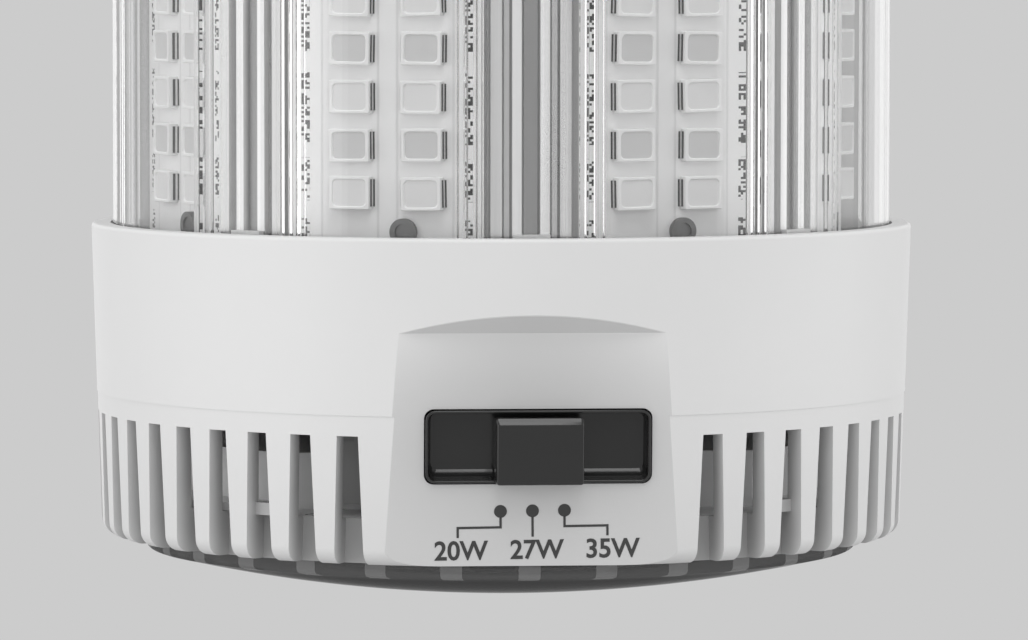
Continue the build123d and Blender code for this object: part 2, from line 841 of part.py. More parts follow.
def housing_screws():
    seat = housing_bore_radius + collar_wall - side_head_height
    length = seat - plate_rim_bore
    part = screw(side_screw_radius, length, side_head_radius, side_head_height)
    place = facing(seat, z_side_screw)
    return Compound([around(azimuth) * place * part for azimuth in side_screw_azimuths])


# Driver carrier and board
def standoff_places(level):
    place = Pos(0, -standoff_distance, level)
    return [around(azimuth + half_sector) * place for azimuth in channel_azimuths]


def led_lead_places(level):
    distance = seat_distance + board_thickness / 2
    return [around(azimuth) * Pos(0, -distance, level) for azimuth in board_azimuths]


def driver_plate():
    plate = turned(
        (plate_hole_radius, z_core_high),
        (plate_radius, z_core_high),
        (plate_radius, z_plate_top + plate_rim_height),
        (plate_rim_bore, z_plate_top + plate_rim_height),
        (plate_rim_bore, z_plate_top),
        (plate_hole_radius, z_plate_top),
    )
    plate += [place * rod(standoff_radius, standoff_height) for place in standoff_places(z_plate_top)]
    pilot = rod(small_screw_radius + thread_fit, standoff_height)
    plate -= [place * pilot for place in standoff_places(z_plate_top)]
    axial_hole = rod(axial_screw_radius + screw_clearance, plate_thickness)
    plate -= [around(a) * Pos(0, -channel_distance, z_core_high) * axial_hole for a in channel_azimuths]
    lead_hole = rod(led_lead_radius + screw_clearance, plate_thickness)
    plate -= [place * lead_hole for place in led_lead_places(z_core_high)]
    side_hole = rod(side_screw_radius + thread_fit, 2 * plate_rim_wall)
    side_hole = facing(plate_rim_bore - plate_fit, z_side_screw) * side_hole
    return plate - [around(azimuth) * side_hole for azimuth in side_screw_azimuths]


def plate_screws():
    part = screw(axial_screw_radius, axial_screw_length, axial_head_radius, axial_head_height)
    return Compound([around(a) * Pos(0, -channel_distance, z_plate_top) * part for a in channel_azimuths])


def driver_board():
    disc = Pos(0, 0, z_driver_low) * rod(driver_board_radius, driver_board_thickness)
    hole = rod(small_screw_radius + screw_clearance, driver_board_thickness)
    return disc - [place * hole for place in standoff_places(z_driver_low)]


def driver_screws():
    length = driver_board_thickness + standoff_height - screw_clearance
    part = screw(small_screw_radius, length, small_head_radius, small_head_height)
    return Compound([place * part for place in standoff_places(z_driver_top)])


# Driver parts, each standing on the driver board
def on_board(place):
    return Pos(place[0], place[1], z_driver_top)


def bulk_capacitor():
    can = rod(capacitor_radius, capacitor_height)
    return on_board(capacitor_place) * chamfer(can.edges().group_by(Axis.Z)[-1], capacitor_radius / 8)


def transformer():
    core = block(*transformer_size)
    lift = (transformer_size[2] - transformer_bobbin[2]) / 2
    return on_board(transformer_place) * (core + Pos(0, 0, lift) * block(*transformer_bobbin))


def emi_choke():
    waist = choke_height - 2 * choke_flange
    drum = rod(choke_radius, choke_flange) + Pos(0, 0, choke_flange) * rod(choke_waist_radius, waist)
    drum += Pos(0, 0, choke_flange + waist) * rod(choke_radius, choke_flange)
    return on_board(choke_place) * drum


def film_capacitor():
    return on_board(film_place) * block(*film_size)


def bridge_rectifier():
    return on_board(bridge_place) * block(*bridge_size)


def surge_varistor():
    disc = Cylinder(varistor_radius, varistor_thickness, rotation=(90, 0, 0))
    foot = block(varistor_radius, varistor_thickness, varistor_radius)
    return on_board(varistor_place) * (foot + Pos(0, 0, varistor_radius) * disc)


def fuse():
    return on_board(fuse_place) * rod(fuse_radius, fuse_height)


def transistor_heatsink():
    return on_board(sink_place) * block(*sink_size)


def power_transistor():
    inward = -(sink_size[0] + transistor_size[0]) / 2
    return on_board(sink_place) * Pos(inward, 0, 0) * block(*transistor_size)


def output_capacitor():
    can = rod(output_radius, output_height)
    return on_board(output_place) * chamfer(can.edges().group_by(Axis.Z)[-1], output_radius / 8)


def output_connector():
    return on_board(plug_place) * block(*plug_size)


# Medium screw base
def screw_shell():
    crest = thread_crest_radius - thread_root_radius
    step = skirt_height + (skirt_radius - thread_root_radius)
    shell = turned(
        (skirt_radius, z_skirt),
        (skirt_radius, z_skirt + skirt_height),
        (thread_root_radius, z_skirt + step),
        (thread_root_radius, -shell_shoulder_drop),
        (shell_mouth_radius, -shell_mouth_drop),
        (shell_mouth_radius, -shell_mouth_drop - shell_wall),
        (shell_bore_radius, -shell_shoulder_drop - shell_wall),
        (shell_bore_radius, z_skirt + step - shell_wall),
        (skirt_radius - shell_wall, z_skirt + skirt_height - shell_wall),
        (skirt_radius - shell_wall, z_skirt),
    )
    z_thread = z_skirt + step + thread_base_width / 4
    helix = Pos(0, 0, z_thread) * Helix(thread_pitch, thread_turns * thread_pitch, thread_root_radius)
    sunk = -shell_wall / 3
    section = make_face(
        Polyline(
            (sunk, -thread_base_width / 2),
            (crest, -thread_crest_width / 2),
            (crest, thread_crest_width / 2),
            (sunk, thread_base_width / 2),
            close=True,
        )
    )
    start = Plane(origin=helix @ 0, x_dir=(1, 0, 0), z_dir=helix % 0)
    return shell + sweep(start * section, path=helix, is_frenet=True)


def base_insulator():
    throat = shell_mouth_radius - insulator_fit
    bore = contact_stem_radius + stem_fit
    z_foot = -shell_shoulder_drop - shell_wall
    return turned(
        (bore, -contact_height),
        (insulator_top_radius, -contact_height),
        (throat, -shell_mouth_drop),
        (throat, z_foot),
        (shell_bore_radius - insulator_fit, z_foot - insulator_fit),
        (shell_bore_radius - insulator_fit, z_foot - insulator_foot),
        (bore, z_foot - insulator_foot),
    )


def centre_contact():
    return turned(
        (0, 0),
        (contact_flat_radius, 0),
        (contact_radius, -contact_bevel),
        (contact_radius, -contact_height),
        (contact_stem_radius, -contact_height),
        (contact_stem_radius, z_stem_end),
        (0, z_stem_end),
    )


# Inner leads
def live_lead():
    z_turn = (z_driver_top + z_neck) / 2
    return lead(
        mains_lead_radius,
        2 * lead_bend,
        (0, 0, z_stem_end),
        (0, 0, z_neck),
        (*live_landing, z_turn),
        (*live_landing, z_driver_top),
    )


def neutral_lead():
    start = sqrt(shell_bore_radius**2 - mains_lead_radius**2) * sin(radians(45))
    down = start / 2
    z_start = (z_spigot - shell_shoulder_drop - shell_wall - insulator_foot) / 2
    z_turn = (z_driver_top + z_neck) / 2
    return lead(
        mains_lead_radius,
        lead_bend,
        (-start, start, z_start),
        (-down, down, z_start),
        (-down, down, z_neck),
        (*neutral_landing, z_turn),
        (*neutral_landing, z_driver_top),
    )


def led_leads():
    z_end = z_core_high - board_setback
    wire = rod(led_lead_radius, z_driver_low - z_end)
    return Compound([place * wire for place in led_lead_places(z_end)])


def switch_lead():
    top = (connector_frame * Pos(0, connector_height / 2, connector_depth / 2)).position
    tilt_gap = switch_lead_radius * tan(radians(pad_tilt))
    z_turn = z_core_low - lead_bend - lead_gap
    return lead(
        switch_lead_radius,
        lead_bend,
        (0, top.Y, top.Z + tilt_gap),
        (0, top.Y, z_turn),
        (0, 0, z_turn),
        (0, 0, z_driver_low),
    )


def end_lead():
    back = connector_frame.position
    start = back.Y + switch_lead_radius * tan(radians(pad_tilt))
    return lead(switch_lead_radius, lead_bend, (0, start, back.Z), (0, 0, back.Z), (0, 0, z_ring_top))


# Write every piece
pieces = {
    "end_collar": end_collar,
    "end_lens": end_lens,
    "end_board": end_board,
    "end_leds": end_leds,
    "end_heat_spreader": end_heat_spreader,
    "end_board_screws": end_board_screws,
    "collar_screws": collar_screws,
    "selector_bezel": selector_bezel,
    "selector_knob": selector_knob,
    "switch_lever": switch_lever,
    "switch_case": switch_case,
    "switch_board": switch_board,
    "switch_board_screws": switch_board_screws,
    "switch_connector": switch_connector,
    "heatsink_core": heatsink_core,
    "board_rivets": board_rivets,
    "cover_tube": cover_tube,
    "base_housing": base_housing,
    "housing_screws": housing_screws,
    "driver_plate": driver_plate,
    "plate_screws": plate_screws,
    "driver_board": driver_board,
    "driver_screws": driver_screws,
    "bulk_capacitor": bulk_capacitor,
    "transformer": transformer,
    "emi_choke": emi_choke,
    "film_capacitor": film_capacitor,
    "bridge_rectifier": bridge_rectifier,
    "surge_varistor": surge_varistor,
    "fuse": fuse,
    "transistor_heatsink": transistor_heatsink,
    "power_transistor": power_transistor,
    "output_capacitor": output_capacitor,
    "output_connector": output_connector,
    "screw_shell": screw_shell,
    "base_insulator": base_insulator,
    "centre_contact": centre_contact,
    "live_lead": live_lead,
    "neutral_lead": neutral_lead,
    "led_leads": led_leads,
    "switch_lead": switch_lead,
    "end_lead": end_lead,
}
for name, make in pieces.items():
    export_step(make(), f"parts/{name}.step")
for number, azimuth in enumerate(board_azimuths, start=1):
    export_step(led_board(azimuth), f"parts/led_board_{number}.step")
    export_step(board_leds(azimuth), f"parts/leds_{number}.step")
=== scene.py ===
# %% [markdown]
# # An LED lamp with a power selector
# The lamp was drawn in CAD, so every piece already has its size and its place. This lesson dresses it in
# Blender: a camera, soft light, a finish for every piece, and the small things that are easier to make as
# meshes than as solids. Everything is in metres, in the frame of the CAD model: the lamp hangs with its
# screw base up, the tip of its centre contact is the origin, and the selector switch faces -Y.

# %% Load the lamp as a fixed frame
import json
import math
import random

import bmesh
import bpy
from mathutils import Matrix, Vector


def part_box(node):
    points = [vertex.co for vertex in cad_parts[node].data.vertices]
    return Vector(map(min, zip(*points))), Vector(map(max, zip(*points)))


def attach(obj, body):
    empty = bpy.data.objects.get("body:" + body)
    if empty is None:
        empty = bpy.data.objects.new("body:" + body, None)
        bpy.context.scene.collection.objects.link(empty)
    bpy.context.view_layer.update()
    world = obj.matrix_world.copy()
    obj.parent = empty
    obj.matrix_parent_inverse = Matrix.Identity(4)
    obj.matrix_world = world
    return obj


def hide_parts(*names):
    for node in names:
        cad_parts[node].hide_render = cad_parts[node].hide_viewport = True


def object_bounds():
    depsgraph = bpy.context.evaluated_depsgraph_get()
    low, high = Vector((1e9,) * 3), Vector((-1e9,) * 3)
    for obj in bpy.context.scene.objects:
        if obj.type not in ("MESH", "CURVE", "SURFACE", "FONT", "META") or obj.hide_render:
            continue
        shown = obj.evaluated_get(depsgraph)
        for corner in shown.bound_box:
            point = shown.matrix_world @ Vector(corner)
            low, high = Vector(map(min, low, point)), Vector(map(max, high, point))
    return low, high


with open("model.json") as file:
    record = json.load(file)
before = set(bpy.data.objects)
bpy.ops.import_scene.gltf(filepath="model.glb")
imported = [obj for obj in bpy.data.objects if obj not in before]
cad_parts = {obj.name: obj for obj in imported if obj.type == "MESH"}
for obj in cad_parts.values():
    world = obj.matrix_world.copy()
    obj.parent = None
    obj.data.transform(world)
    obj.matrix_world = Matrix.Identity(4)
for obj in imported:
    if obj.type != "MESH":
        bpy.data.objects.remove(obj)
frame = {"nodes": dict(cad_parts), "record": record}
nodes = frame["nodes"]
cad_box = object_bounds()
print("pieces in the frame:", len(nodes))

# %% [markdown]
# ## Levels and radii
# A few sizes are read from the frame, so the scene follows the CAD model when it changes. The eight
# locating tabs stand a little above the collar's rim, so the rim is that much lower than the collar's box.
# The flat pad round the switch leans back a little, so its plane is kept as a point and a direction.

# %% Read sizes from the frame
MM = 0.001
tab_rise = 0.22 * MM
collar_low, collar_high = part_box("end_collar")
rim_level = collar_high.z - tab_rise
tube_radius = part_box("cover_tube")[1].x
sector = math.radians(45)  # the eight boards and ridges repeat at this angle
half_turn = sector / 2
board_count = 8
ridge_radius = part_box("heatsink_core")[1].x
ridge_half = 3.19 * MM
pad_tilt = math.radians(3.2)
pad_top_distance = 33.07 * MM
switch_below_pad_top = 9.15 * MM
switch_below_rim = 16.75 * MM
switch_level = rim_level - switch_below_rim
pad_top_level = switch_level + switch_below_pad_top
pad_middle = pad_top_distance - switch_below_pad_top * math.tan(pad_tilt)
pad_place = Vector((0, -pad_middle, switch_level))
pad_outward = Vector((0, -math.cos(pad_tilt), -math.sin(pad_tilt)))
print("rim level, mm:", round(rim_level / MM, 2), "tube radius, mm:", round(tube_radius / MM, 2))

# %% [markdown]
# ## Camera
# The picture was taken with a long lens from half a metre away, slightly above the collar and a little to
# the left of the switch. A long lens keeps the tube's sides parallel. The camera is turned in three steps:
# about the upright axis, down, and a trace of roll.

# %% Place the camera
eye_distance = 0.500
eye_above_rim = 20.8 * MM
eye_azimuth = math.radians(-4.38)
look_down = math.radians(3.352)
look_right = math.radians(0.126)
camera_roll = math.radians(0.054)
sensor_width = 36.0
focal_length = 204.6
nearest_seen = 0.01

camera_data = bpy.data.cameras.new("camera")
camera_data.sensor_width = sensor_width
camera_data.lens = focal_length
camera_data.clip_start = nearest_seen
camera = bpy.data.objects.new("camera", camera_data)
eye = Vector((math.sin(eye_azimuth), -math.cos(eye_azimuth), 0)) * eye_distance
eye.z = rim_level + eye_above_rim
camera.matrix_world = (
    Matrix.Translation(eye)
    @ Matrix.Rotation(eye_azimuth - look_right, 4, "Z")
    @ Matrix.Rotation(math.pi / 2 - look_down, 4, "X")
    @ Matrix.Rotation(camera_roll, 4, "Z")
)
bpy.context.scene.collection.objects.link(camera)
bpy.context.scene.camera = camera
bpy.context.scene.view_settings.view_transform = "Standard"
print("camera at, mm:", [round(value / MM, 1) for value in eye])

# %% [markdown]
# ## Shader maths as Python sums
# A finish is a small network of nodes. Linking dozens of Math nodes by hand hides the idea, so one class
# wraps a node's output and lets it take part in sums: `1 - mask` adds a Math node that subtracts. Every
# other node comes from its `node` method: type first, then settings, then what goes into its sockets.

# %% A class for node outputs
class Wire:
    """A node's output that can be used in sums."""

    def __init__(self, tree, output=None):
        self.tree = tree
        self.output = output

    def node(self, kind, settings=None, inputs=None, output=0):
        """Add a node, set it up, feed its sockets and return one of its outputs."""
        made = self.tree.nodes.new(kind)
        for name, value in (settings or {}).items():
            if name == "stops":
                set_stops(made.color_ramp, value)
            else:
                setattr(made, name, value)
        for name, value in (inputs or {}).items():
            if isinstance(value, Wire):
                self.tree.links.new(value.output, made.inputs[name])
            else:
                made.inputs[name].default_value = value
        return Wire(self.tree, made.outputs[output] if len(made.outputs) else None)

    def math(self, operation, *values):
        """Add a Math node and return its result."""
        return self.node("ShaderNodeMath", {"operation": operation}, dict(enumerate(values)))

    def __add__(self, other):
        return self.math("ADD", self, other)

    def __radd__(self, other):
        return self.math("ADD", other, self)

    def __sub__(self, other):
        return self.math("SUBTRACT", self, other)

    def __rsub__(self, other):
        return self.math("SUBTRACT", other, self)

    def __mul__(self, other):
        return self.math("MULTIPLY", self, other)

    def __rmul__(self, other):
        return self.math("MULTIPLY", other, self)

    def __truediv__(self, other):
        return self.math("DIVIDE", self, other)

    def __lt__(self, other):
        return self.math("LESS_THAN", self, other)

    def __gt__(self, other):
        return self.math("GREATER_THAN", self, other)

    def __abs__(self):
        return self.math("ABSOLUTE", self)


def set_stops(ramp, stops):
    """Give a colour ramp its (place, colour) stops."""
    while len(ramp.elements) < len(stops):
        ramp.elements.new(0.5)
    for element, (place, colour) in zip(ramp.elements, stops):
        element.position = place
        element.color = colour


# %% Colours as they show
def tone(shown):
    """Neutral colour that shows on a screen as this grey, from 0 to 1."""
    linear = shown / 12.92 if shown <= 0.04045 else ((shown + 0.055) / 1.055) ** 2.4
    return (linear, linear, linear, 1.0)


def tint(red, green, blue):
    """Colour given as it shows on a screen."""
    return (tone(red)[0], tone(green)[0], tone(blue)[0], 1.0)


# %% New finishes, mixes and masks
finishes = {}
MIX_FACTOR, MIX_LOW, MIX_HIGH, MIX_RESULT = 0, 6, 7, 2  # a Mix node's sockets when it mixes colours


def new_finish(name):
    """Empty material, kept under its name. What comes back is the wire that its nodes start from."""
    material = bpy.data.materials.new(f"{name}_finish")
    material.use_nodes = True
    material.node_tree.nodes.clear()
    finishes[name] = material
    return Wire(material.node_tree)


def wash(wire, share, low, high, blend="MIX"):
    """Colour between two others, by a share from 0 to 1, or another blend of the two."""
    settings = {"data_type": "RGBA", "blend_type": blend}
    inputs = {MIX_FACTOR: share, MIX_LOW: low, MIX_HIGH: high}
    return wire.node("ShaderNodeMix", settings, inputs, output=MIX_RESULT)


def split(wire, vector):
    """The three parts of a vector."""
    first = wire.node("ShaderNodeSeparateXYZ", None, {"Vector": vector})
    return [Wire(wire.tree, output) for output in first.output.node.outputs]


def stripe(value, middle, half_width):
    """1 where the value is near the middle, 0 elsewhere."""
    return abs(value - middle) < half_width


# %% [markdown]
# ## Background, floor and light
# The lamp hangs in front of a plain pale backdrop. The world shows that grey to the camera, in reflections
# and through the clear pieces, while its light on everything else has a level of its own. A floor well
# below the lamp takes its shadow; it is clear from underneath, so the end lens can be looked at from there.
# Two large soft boxes stand left and right, the left one with a narrow strip beside it that draws thin
# bright lines along rounded edges. A small one hangs above the front for upper edges, and one stands behind
# the camera, where the front ridge mirrors it. Two more stand behind the lamp, out of the picture: they
# light the rims of the collar and the tube.

# %% World
backdrop_tone = 0.80
ambient_level = 0.70

world = bpy.data.worlds.new("studio")
world.use_nodes = True
world.node_tree.nodes.clear()
bpy.context.scene.world = world
air = Wire(world.node_tree)
seen_directly = air.node("ShaderNodeLightPath", output="Is Camera Ray")
seen_in_gloss = air.node("ShaderNodeLightPath", output="Is Glossy Ray")
seen_in_glass = air.node("ShaderNodeLightPath", output="Is Transmission Ray")
seen = seen_directly + seen_in_gloss + seen_in_glass
shown = air.node("ShaderNodeBackground", None, {"Color": tone(backdrop_tone), "Strength": 1.0})
light = air.node("ShaderNodeBackground", None, {"Color": tone(1.0), "Strength": ambient_level})
either = air.node("ShaderNodeMixShader", None, {0: seen, 1: light, 2: shown})
air.node("ShaderNodeOutputWorld", None, {"Surface": either})
print("backdrop shows as", backdrop_tone, "and lights at", ambient_level)

# %% Soft boxes
light_distance = 0.9


def soft_box(name, azimuth, elevation, width, height, power):
    """Area light that points at the collar."""
    data = bpy.data.lights.new(name, "AREA")
    data.shape = "RECTANGLE"
    data.size = width
    data.size_y = height
    data.energy = power
    lamp = bpy.data.objects.new(name, data)
    turn, rise = math.radians(azimuth), math.radians(elevation)
    away = Vector((math.sin(turn) * math.cos(rise), -math.cos(turn) * math.cos(rise), math.sin(rise)))
    lamp.location = Vector((0, 0, rim_level)) + away * light_distance
    lamp.rotation_mode = "QUATERNION"
    lamp.rotation_quaternion = (-away).to_track_quat("-Z", "Y")
    bpy.context.scene.collection.objects.link(lamp)


soft_box("left_box", -74, 12, 0.8, 0.9, power=2.0)
soft_box("left_strip", -62, 8, 0.16, 0.8, power=0.35)
soft_box("right_box", 86, 12, 0.8, 0.9, power=1.9)
soft_box("top_box", -4, 63, 0.4, 0.42, power=1.7)
soft_box("front_box", 4, 1, 0.4, 0.17, power=0.17)
soft_box("left_rim", -162, 8, 0.34, 0.9, power=0.45)
soft_box("right_rim", 154, 8, 0.34, 0.9, power=0.3)

# %% Floor
floor_drop = 150 * MM
floor_radius, floor_corners = 0.75, 96
fibre_scale, fibre_detail = 60.0, 4.0

floor_shape = bmesh.new()
bmesh.ops.create_circle(floor_shape, cap_ends=True, segments=floor_corners, radius=floor_radius)
floor_mesh = bpy.data.meshes.new("floor")
floor_shape.to_mesh(floor_mesh)
floor_shape.free()
floor = bpy.data.objects.new("floor", floor_mesh)
floor.location.z = cad_box[0].z - floor_drop
bpy.context.scene.collection.objects.link(floor)
paper = new_finish("floor_paper")
fibres = paper.node("ShaderNodeTexNoise", None, {"Scale": fibre_scale, "Detail": fibre_detail})
paper_colour = wash(paper, fibres, tone(0.85), tone(0.88))
sheet = paper.node("ShaderNodeBsdfDiffuse", None, {"Color": paper_colour, "Roughness": 0.5})
from_below = paper.node("ShaderNodeNewGeometry", output="Backfacing")
nothing = paper.node("ShaderNodeBsdfTransparent")
one_sided = paper.node("ShaderNodeMixShader", None, {0: from_below, 1: sheet, 2: nothing})
paper.node("ShaderNodeOutputMaterial", None, {"Surface": one_sided})
floor_mesh.materials.append(finishes["floor_paper"])
print("floor below the lamp, mm:", round(floor_drop / MM))

# %% [markdown]
# ## Moulded plastic
# The collar, the housing and the switch are injection moulded. Such plastic has an almost even colour, a
# faint cloudiness where it flowed into the mould, and a fine spark-eroded grain that softens its gloss. Two
# noises do that: a large one for the clouds and a very small one as a bump.

# %% Plastic finish
cloud_scale, cloud_detail = 70.0, 3.0
fine_grain, grain_detail = 5000.0, 2.0
spark_depth = 0.004 * MM


def finish(wire, **sockets):
    """Principled shader on the surface, with its sockets given by name."""
    named = {name.replace("_", " "): value for name, value in sockets.items()}
    shader = wire.node("ShaderNodeBsdfPrincipled", None, named)
    wire.node("ShaderNodeOutputMaterial", None, {"Surface": shader})


def own_place(wire):
    """Place on the object, in metres."""
    return wire.node("ShaderNodeTexCoord", output="Object")


def noise(wire, place, scale, detail):
    """Soft random pattern from 0 to 1."""
    return wire.node("ShaderNodeTexNoise", None, {"Vector": place, "Scale": scale, "Detail": detail})


def relief(wire, height, depth):
    """Direction of a surface that a pattern raises by this depth."""
    inputs = {"Height": height, "Distance": depth, "Strength": 1.0}
    return wire.node("ShaderNodeBump", None, inputs, output="Normal")


def moulded(name, low, high, gloss_low, gloss_high, grain_depth=spark_depth, grain_scale=fine_grain):
    """Plastic with faint clouds and a spark-eroded grain."""
    wire = new_finish(name)
    place = own_place(wire)
    clouds = noise(wire, place, cloud_scale, cloud_detail)
    grain = noise(wire, place, grain_scale, grain_detail)
    finish(
        wire,
        Base_Color=wash(wire, clouds, low, high),
        Roughness=gloss_low + (gloss_high - gloss_low) * grain,
        Normal=relief(wire, grain, grain_depth),
    )
    return finishes[name]


# %% Plastics of the lamp
plastics = {
    "carrier_plastic": (tone(0.80), tone(0.84), 0.45, 0.60),
    "connector_plastic": (tint(0.88, 0.85, 0.78), tint(0.91, 0.89, 0.83), 0.40, 0.55),
    "component_epoxy": (tone(0.13), tone(0.18), 0.45, 0.65),
    "film_case": (tint(0.62, 0.50, 0.22), tint(0.70, 0.58, 0.28), 0.30, 0.45),
    "varistor_coat": (tint(0.16, 0.28, 0.50), tint(0.20, 0.33, 0.56), 0.30, 0.50),
    "fuse_body": (tint(0.72, 0.70, 0.62), tint(0.80, 0.78, 0.70), 0.20, 0.35),
    "capacitor_sleeve": (tone(0.12), tone(0.16), 0.25, 0.40),
    "live_insulation": (tone(0.12), tone(0.16), 0.35, 0.50),
    "neutral_insulation": (tone(0.86), tone(0.90), 0.35, 0.50),
    "lead_insulation": (tint(0.62, 0.12, 0.10), tint(0.68, 0.16, 0.13), 0.35, 0.50),
}
for name, look in plastics.items():
    moulded(name, *look)
moulded("base_glass", tone(0.08), tone(0.12), 0.05, 0.12, grain_depth=0.001 * MM)
moulded("ferrite", tone(0.22), tone(0.30), 0.55, 0.75, grain_depth=0.01 * MM)
dark_plastic = moulded("dark_plastic", tone(0.13), tone(0.16), 0.10, 0.18, grain_depth=0.0006 * MM)
print("plastics ready:", len(plastics) + 3)

# %% [markdown]
# ## White plastic with a matt pad
# The collar is the same kind of plastic, but the mould was eroded more coarsely on the pad round the
# switch, so the pad is matt there. Its colour is painted shade: a little greyer, most of all next to the
# switch, and lighter towards its top as if lit from above. The distance from the pad's plane is a dot
# product, and wherever it is zero the finish changes. The ramp above the pad is painted a darker grey, as
# shade. Deep in the slots the plastic is painted darker the nearer it is to the axis, as shade there.

# %% Collar finish
slot_floor = 31.8 * MM
# Radii where the painted shade in the slots is full and where it fades out.
slot_shade_full, slot_shade_none = 32.4 * MM, 34.8 * MM
ramp_rise = 1.9 * MM
ramp_radius = 34.70 * MM
pad_tolerance = 0.02 * MM
# Reach of the painted shade round the switch, and the distances where it is full and where it ends.
switch_shade_reach_x, switch_shade_reach_z = 12 * MM, 8 * MM
switch_shade_full, switch_shade_none = 0.5, 1.6


def flat_vector(wire, x, y):
    """Vector of two parts."""
    return wire.node("ShaderNodeCombineXYZ", None, {"X": x, "Y": y})


def measure(wire, operation, *vectors):
    """Number that comes from vectors: a length or a dot product."""
    inputs = dict(enumerate(vectors))
    return wire.node("ShaderNodeVectorMath", {"operation": operation}, inputs, output="Value")


def ease(wire, value, start, stop, first=0.0, last=1.0):
    """Smooth change from the first to the last number while the value goes from start to stop."""
    inputs = {"Value": value, "From Min": start, "From Max": stop, "To Min": first, "To Max": last}
    return wire.node("ShaderNodeMapRange", {"interpolation_type": "SMOOTHSTEP"}, inputs)


def collar_plastic():
    """White plastic, matt on the pad, with painted shade on the pad, the ramp and deep in the slots."""
    wire = new_finish("white_plastic")
    place = own_place(wire)
    x, y, z = split(wire, place)
    radius = measure(wire, "LENGTH", flat_vector(wire, x, y))
    above = measure(wire, "DOT_PRODUCT", place, pad_outward)
    on_pad_face = stripe(above, pad_outward.dot(pad_place), pad_tolerance) * (z < pad_top_level)
    # Painted shade on the ramp above the pad: it is coloured a darker grey.
    over_pad = (z > pad_top_level) * (z < pad_top_level + ramp_rise) * (y < -pad_middle / 2)
    ramp_shade = over_pad * (radius < ramp_radius)
    # Painted shade on the pad: greyest next to the switch.
    from_switch = flat_vector(wire, x / switch_shade_reach_x, (z - switch_level) / switch_shade_reach_z)
    edge = ease(wire, measure(wire, "LENGTH", from_switch), switch_shade_full, switch_shade_none)
    # Painted shade deep in the slots: darker the nearer the plastic is to the axis.
    slot_shade = ease(wire, radius, slot_shade_full, slot_shade_none, first=1.0, last=0.0)
    clouds = noise(wire, place, cloud_scale, cloud_detail)
    grain = noise(wire, place, fine_grain, grain_detail)
    smooth = wash(wire, clouds, tone(0.885), tone(0.905))
    # Painted light from above: the pad's colour lightens towards the pad's top.
    height = (z - collar_low.z) / (pad_top_level - collar_low.z)
    pad_shade = wash(wire, edge, tone(0.79), wash(wire, height, tone(0.82), tone(0.90)))
    slot_shaded = wash(wire, slot_shade * (z < pad_top_level) * (radius > slot_floor), smooth, tone(0.64))
    finish(
        wire,
        Base_Color=wash(wire, ramp_shade, wash(wire, on_pad_face, slot_shaded, pad_shade), tone(0.82)),
        Roughness=0.38 + 0.12 * grain + 0.2 * on_pad_face,
        Normal=relief(wire, grain, spark_depth),
    )


collar_plastic()
print("collar finish ready, pad top at, mm:", round(pad_top_level / MM, 2))

# %% [markdown]
# ## Extruded and turned metal
# The core was pressed through a die, which leaves fine lines along its length. A noise that is squeezed
# across and stretched along the axis draws them: it changes the tone, the gloss and, as a bump, the
# reflections. Turned and rolled pieces have the same lines round the axis instead, so the stretch is a
# choice.

# %% Metal finish
line_depth = 0.01 * MM
line_detail, patch_detail = 4.0, 2.0


def stretched(wire, place, stretch):
    """Place whose parts are multiplied: a pattern gets long where the number is small."""
    return wire.node("ShaderNodeVectorMath", {"operation": "MULTIPLY"}, {0: place, 1: stretch})


def drawn_metal(name, low, high, gloss_low, gloss_high, stretch, line_scale, metallic=1.0):
    """Metal of two tones with drawing lines along the axes that stretch makes long."""
    wire = new_finish(name)
    along = stretched(wire, own_place(wire), stretch)
    lines = noise(wire, along, line_scale, line_detail)
    patches = noise(wire, along, line_scale / 5, patch_detail)
    finish(
        wire,
        Base_Color=wash(wire, lines * 0.6 + patches * 0.4, tone(low), tone(high)),
        Roughness=gloss_low + (gloss_high - gloss_low) * patches,
        Metallic=metallic,
        Normal=relief(wire, lines, line_depth),
    )
    return finishes[name]


# %% Metals of the lamp
along_axis = (1.0, 1.0, 0.01)
round_axis = (0.05, 0.05, 1.0)
every_way = (1.0, 1.0, 1.0)
drawn_metal("spreader_aluminium", 0.94, 0.98, 0.45, 0.60, every_way, 400.0, metallic=0.10)
drawn_metal("plated_shell", 0.82, 0.92, 0.14, 0.30, round_axis, 900.0)
drawn_metal("contact_metal", 0.74, 0.86, 0.25, 0.45, every_way, 700.0)
drawn_metal("rivet_metal", 0.42, 0.58, 0.40, 0.55, every_way, 1200.0)
drawn_metal("switch_metal", 0.74, 0.86, 0.25, 0.40, every_way, 800.0)
screw_steel = drawn_metal("screw_steel", 0.62, 0.80, 0.22, 0.40, every_way, 1500.0)
solder = drawn_metal("solder", 0.70, 0.98, 0.25, 0.45, every_way, 3500.0)
print("metals ready")

# %% [markdown]
# ## Ridges of the core
# Each ridge has a groove along its middle, a bead on both sides of it, then a valley and a lip. The tone
# across a ridge is painted light and shade: dark in the groove and the valleys as painted shade, bright on
# the beads and the lips as painted highlights, so the tone follows the distance across a ridge. The angle
# round the lamp is wrapped into one eighth of a turn, which makes all eight ridges alike.

# %% Core finish
# Painted light and shade across a ridge: shade in the groove and valleys, highlights on beads and lips.
ridge_light_and_shade = (
    *((0.0, 0.56), (0.18, 0.57)),  # groove
    *((0.22, 0.96), (0.45, 0.92)),  # bead
    *((0.52, 0.74), (0.66, 0.74)),  # valley
    *((0.74, 0.86), (0.97, 0.84)),  # lip
)
core_lines, core_patches = 2600.0, 500.0
core_line_depth = 0.012 * MM


def angle_round(wire, x, y):
    """Angle round the lamp, from the switch towards +X."""
    return wire.math("ARCTAN2", x, 0 - y)


def wrapped(wire, angle, pitch):
    """Angle from the nearest of the places that follow each other at this pitch."""
    return wire.math("WRAP", angle + pitch / 2, pitch, 0.0) - pitch / 2


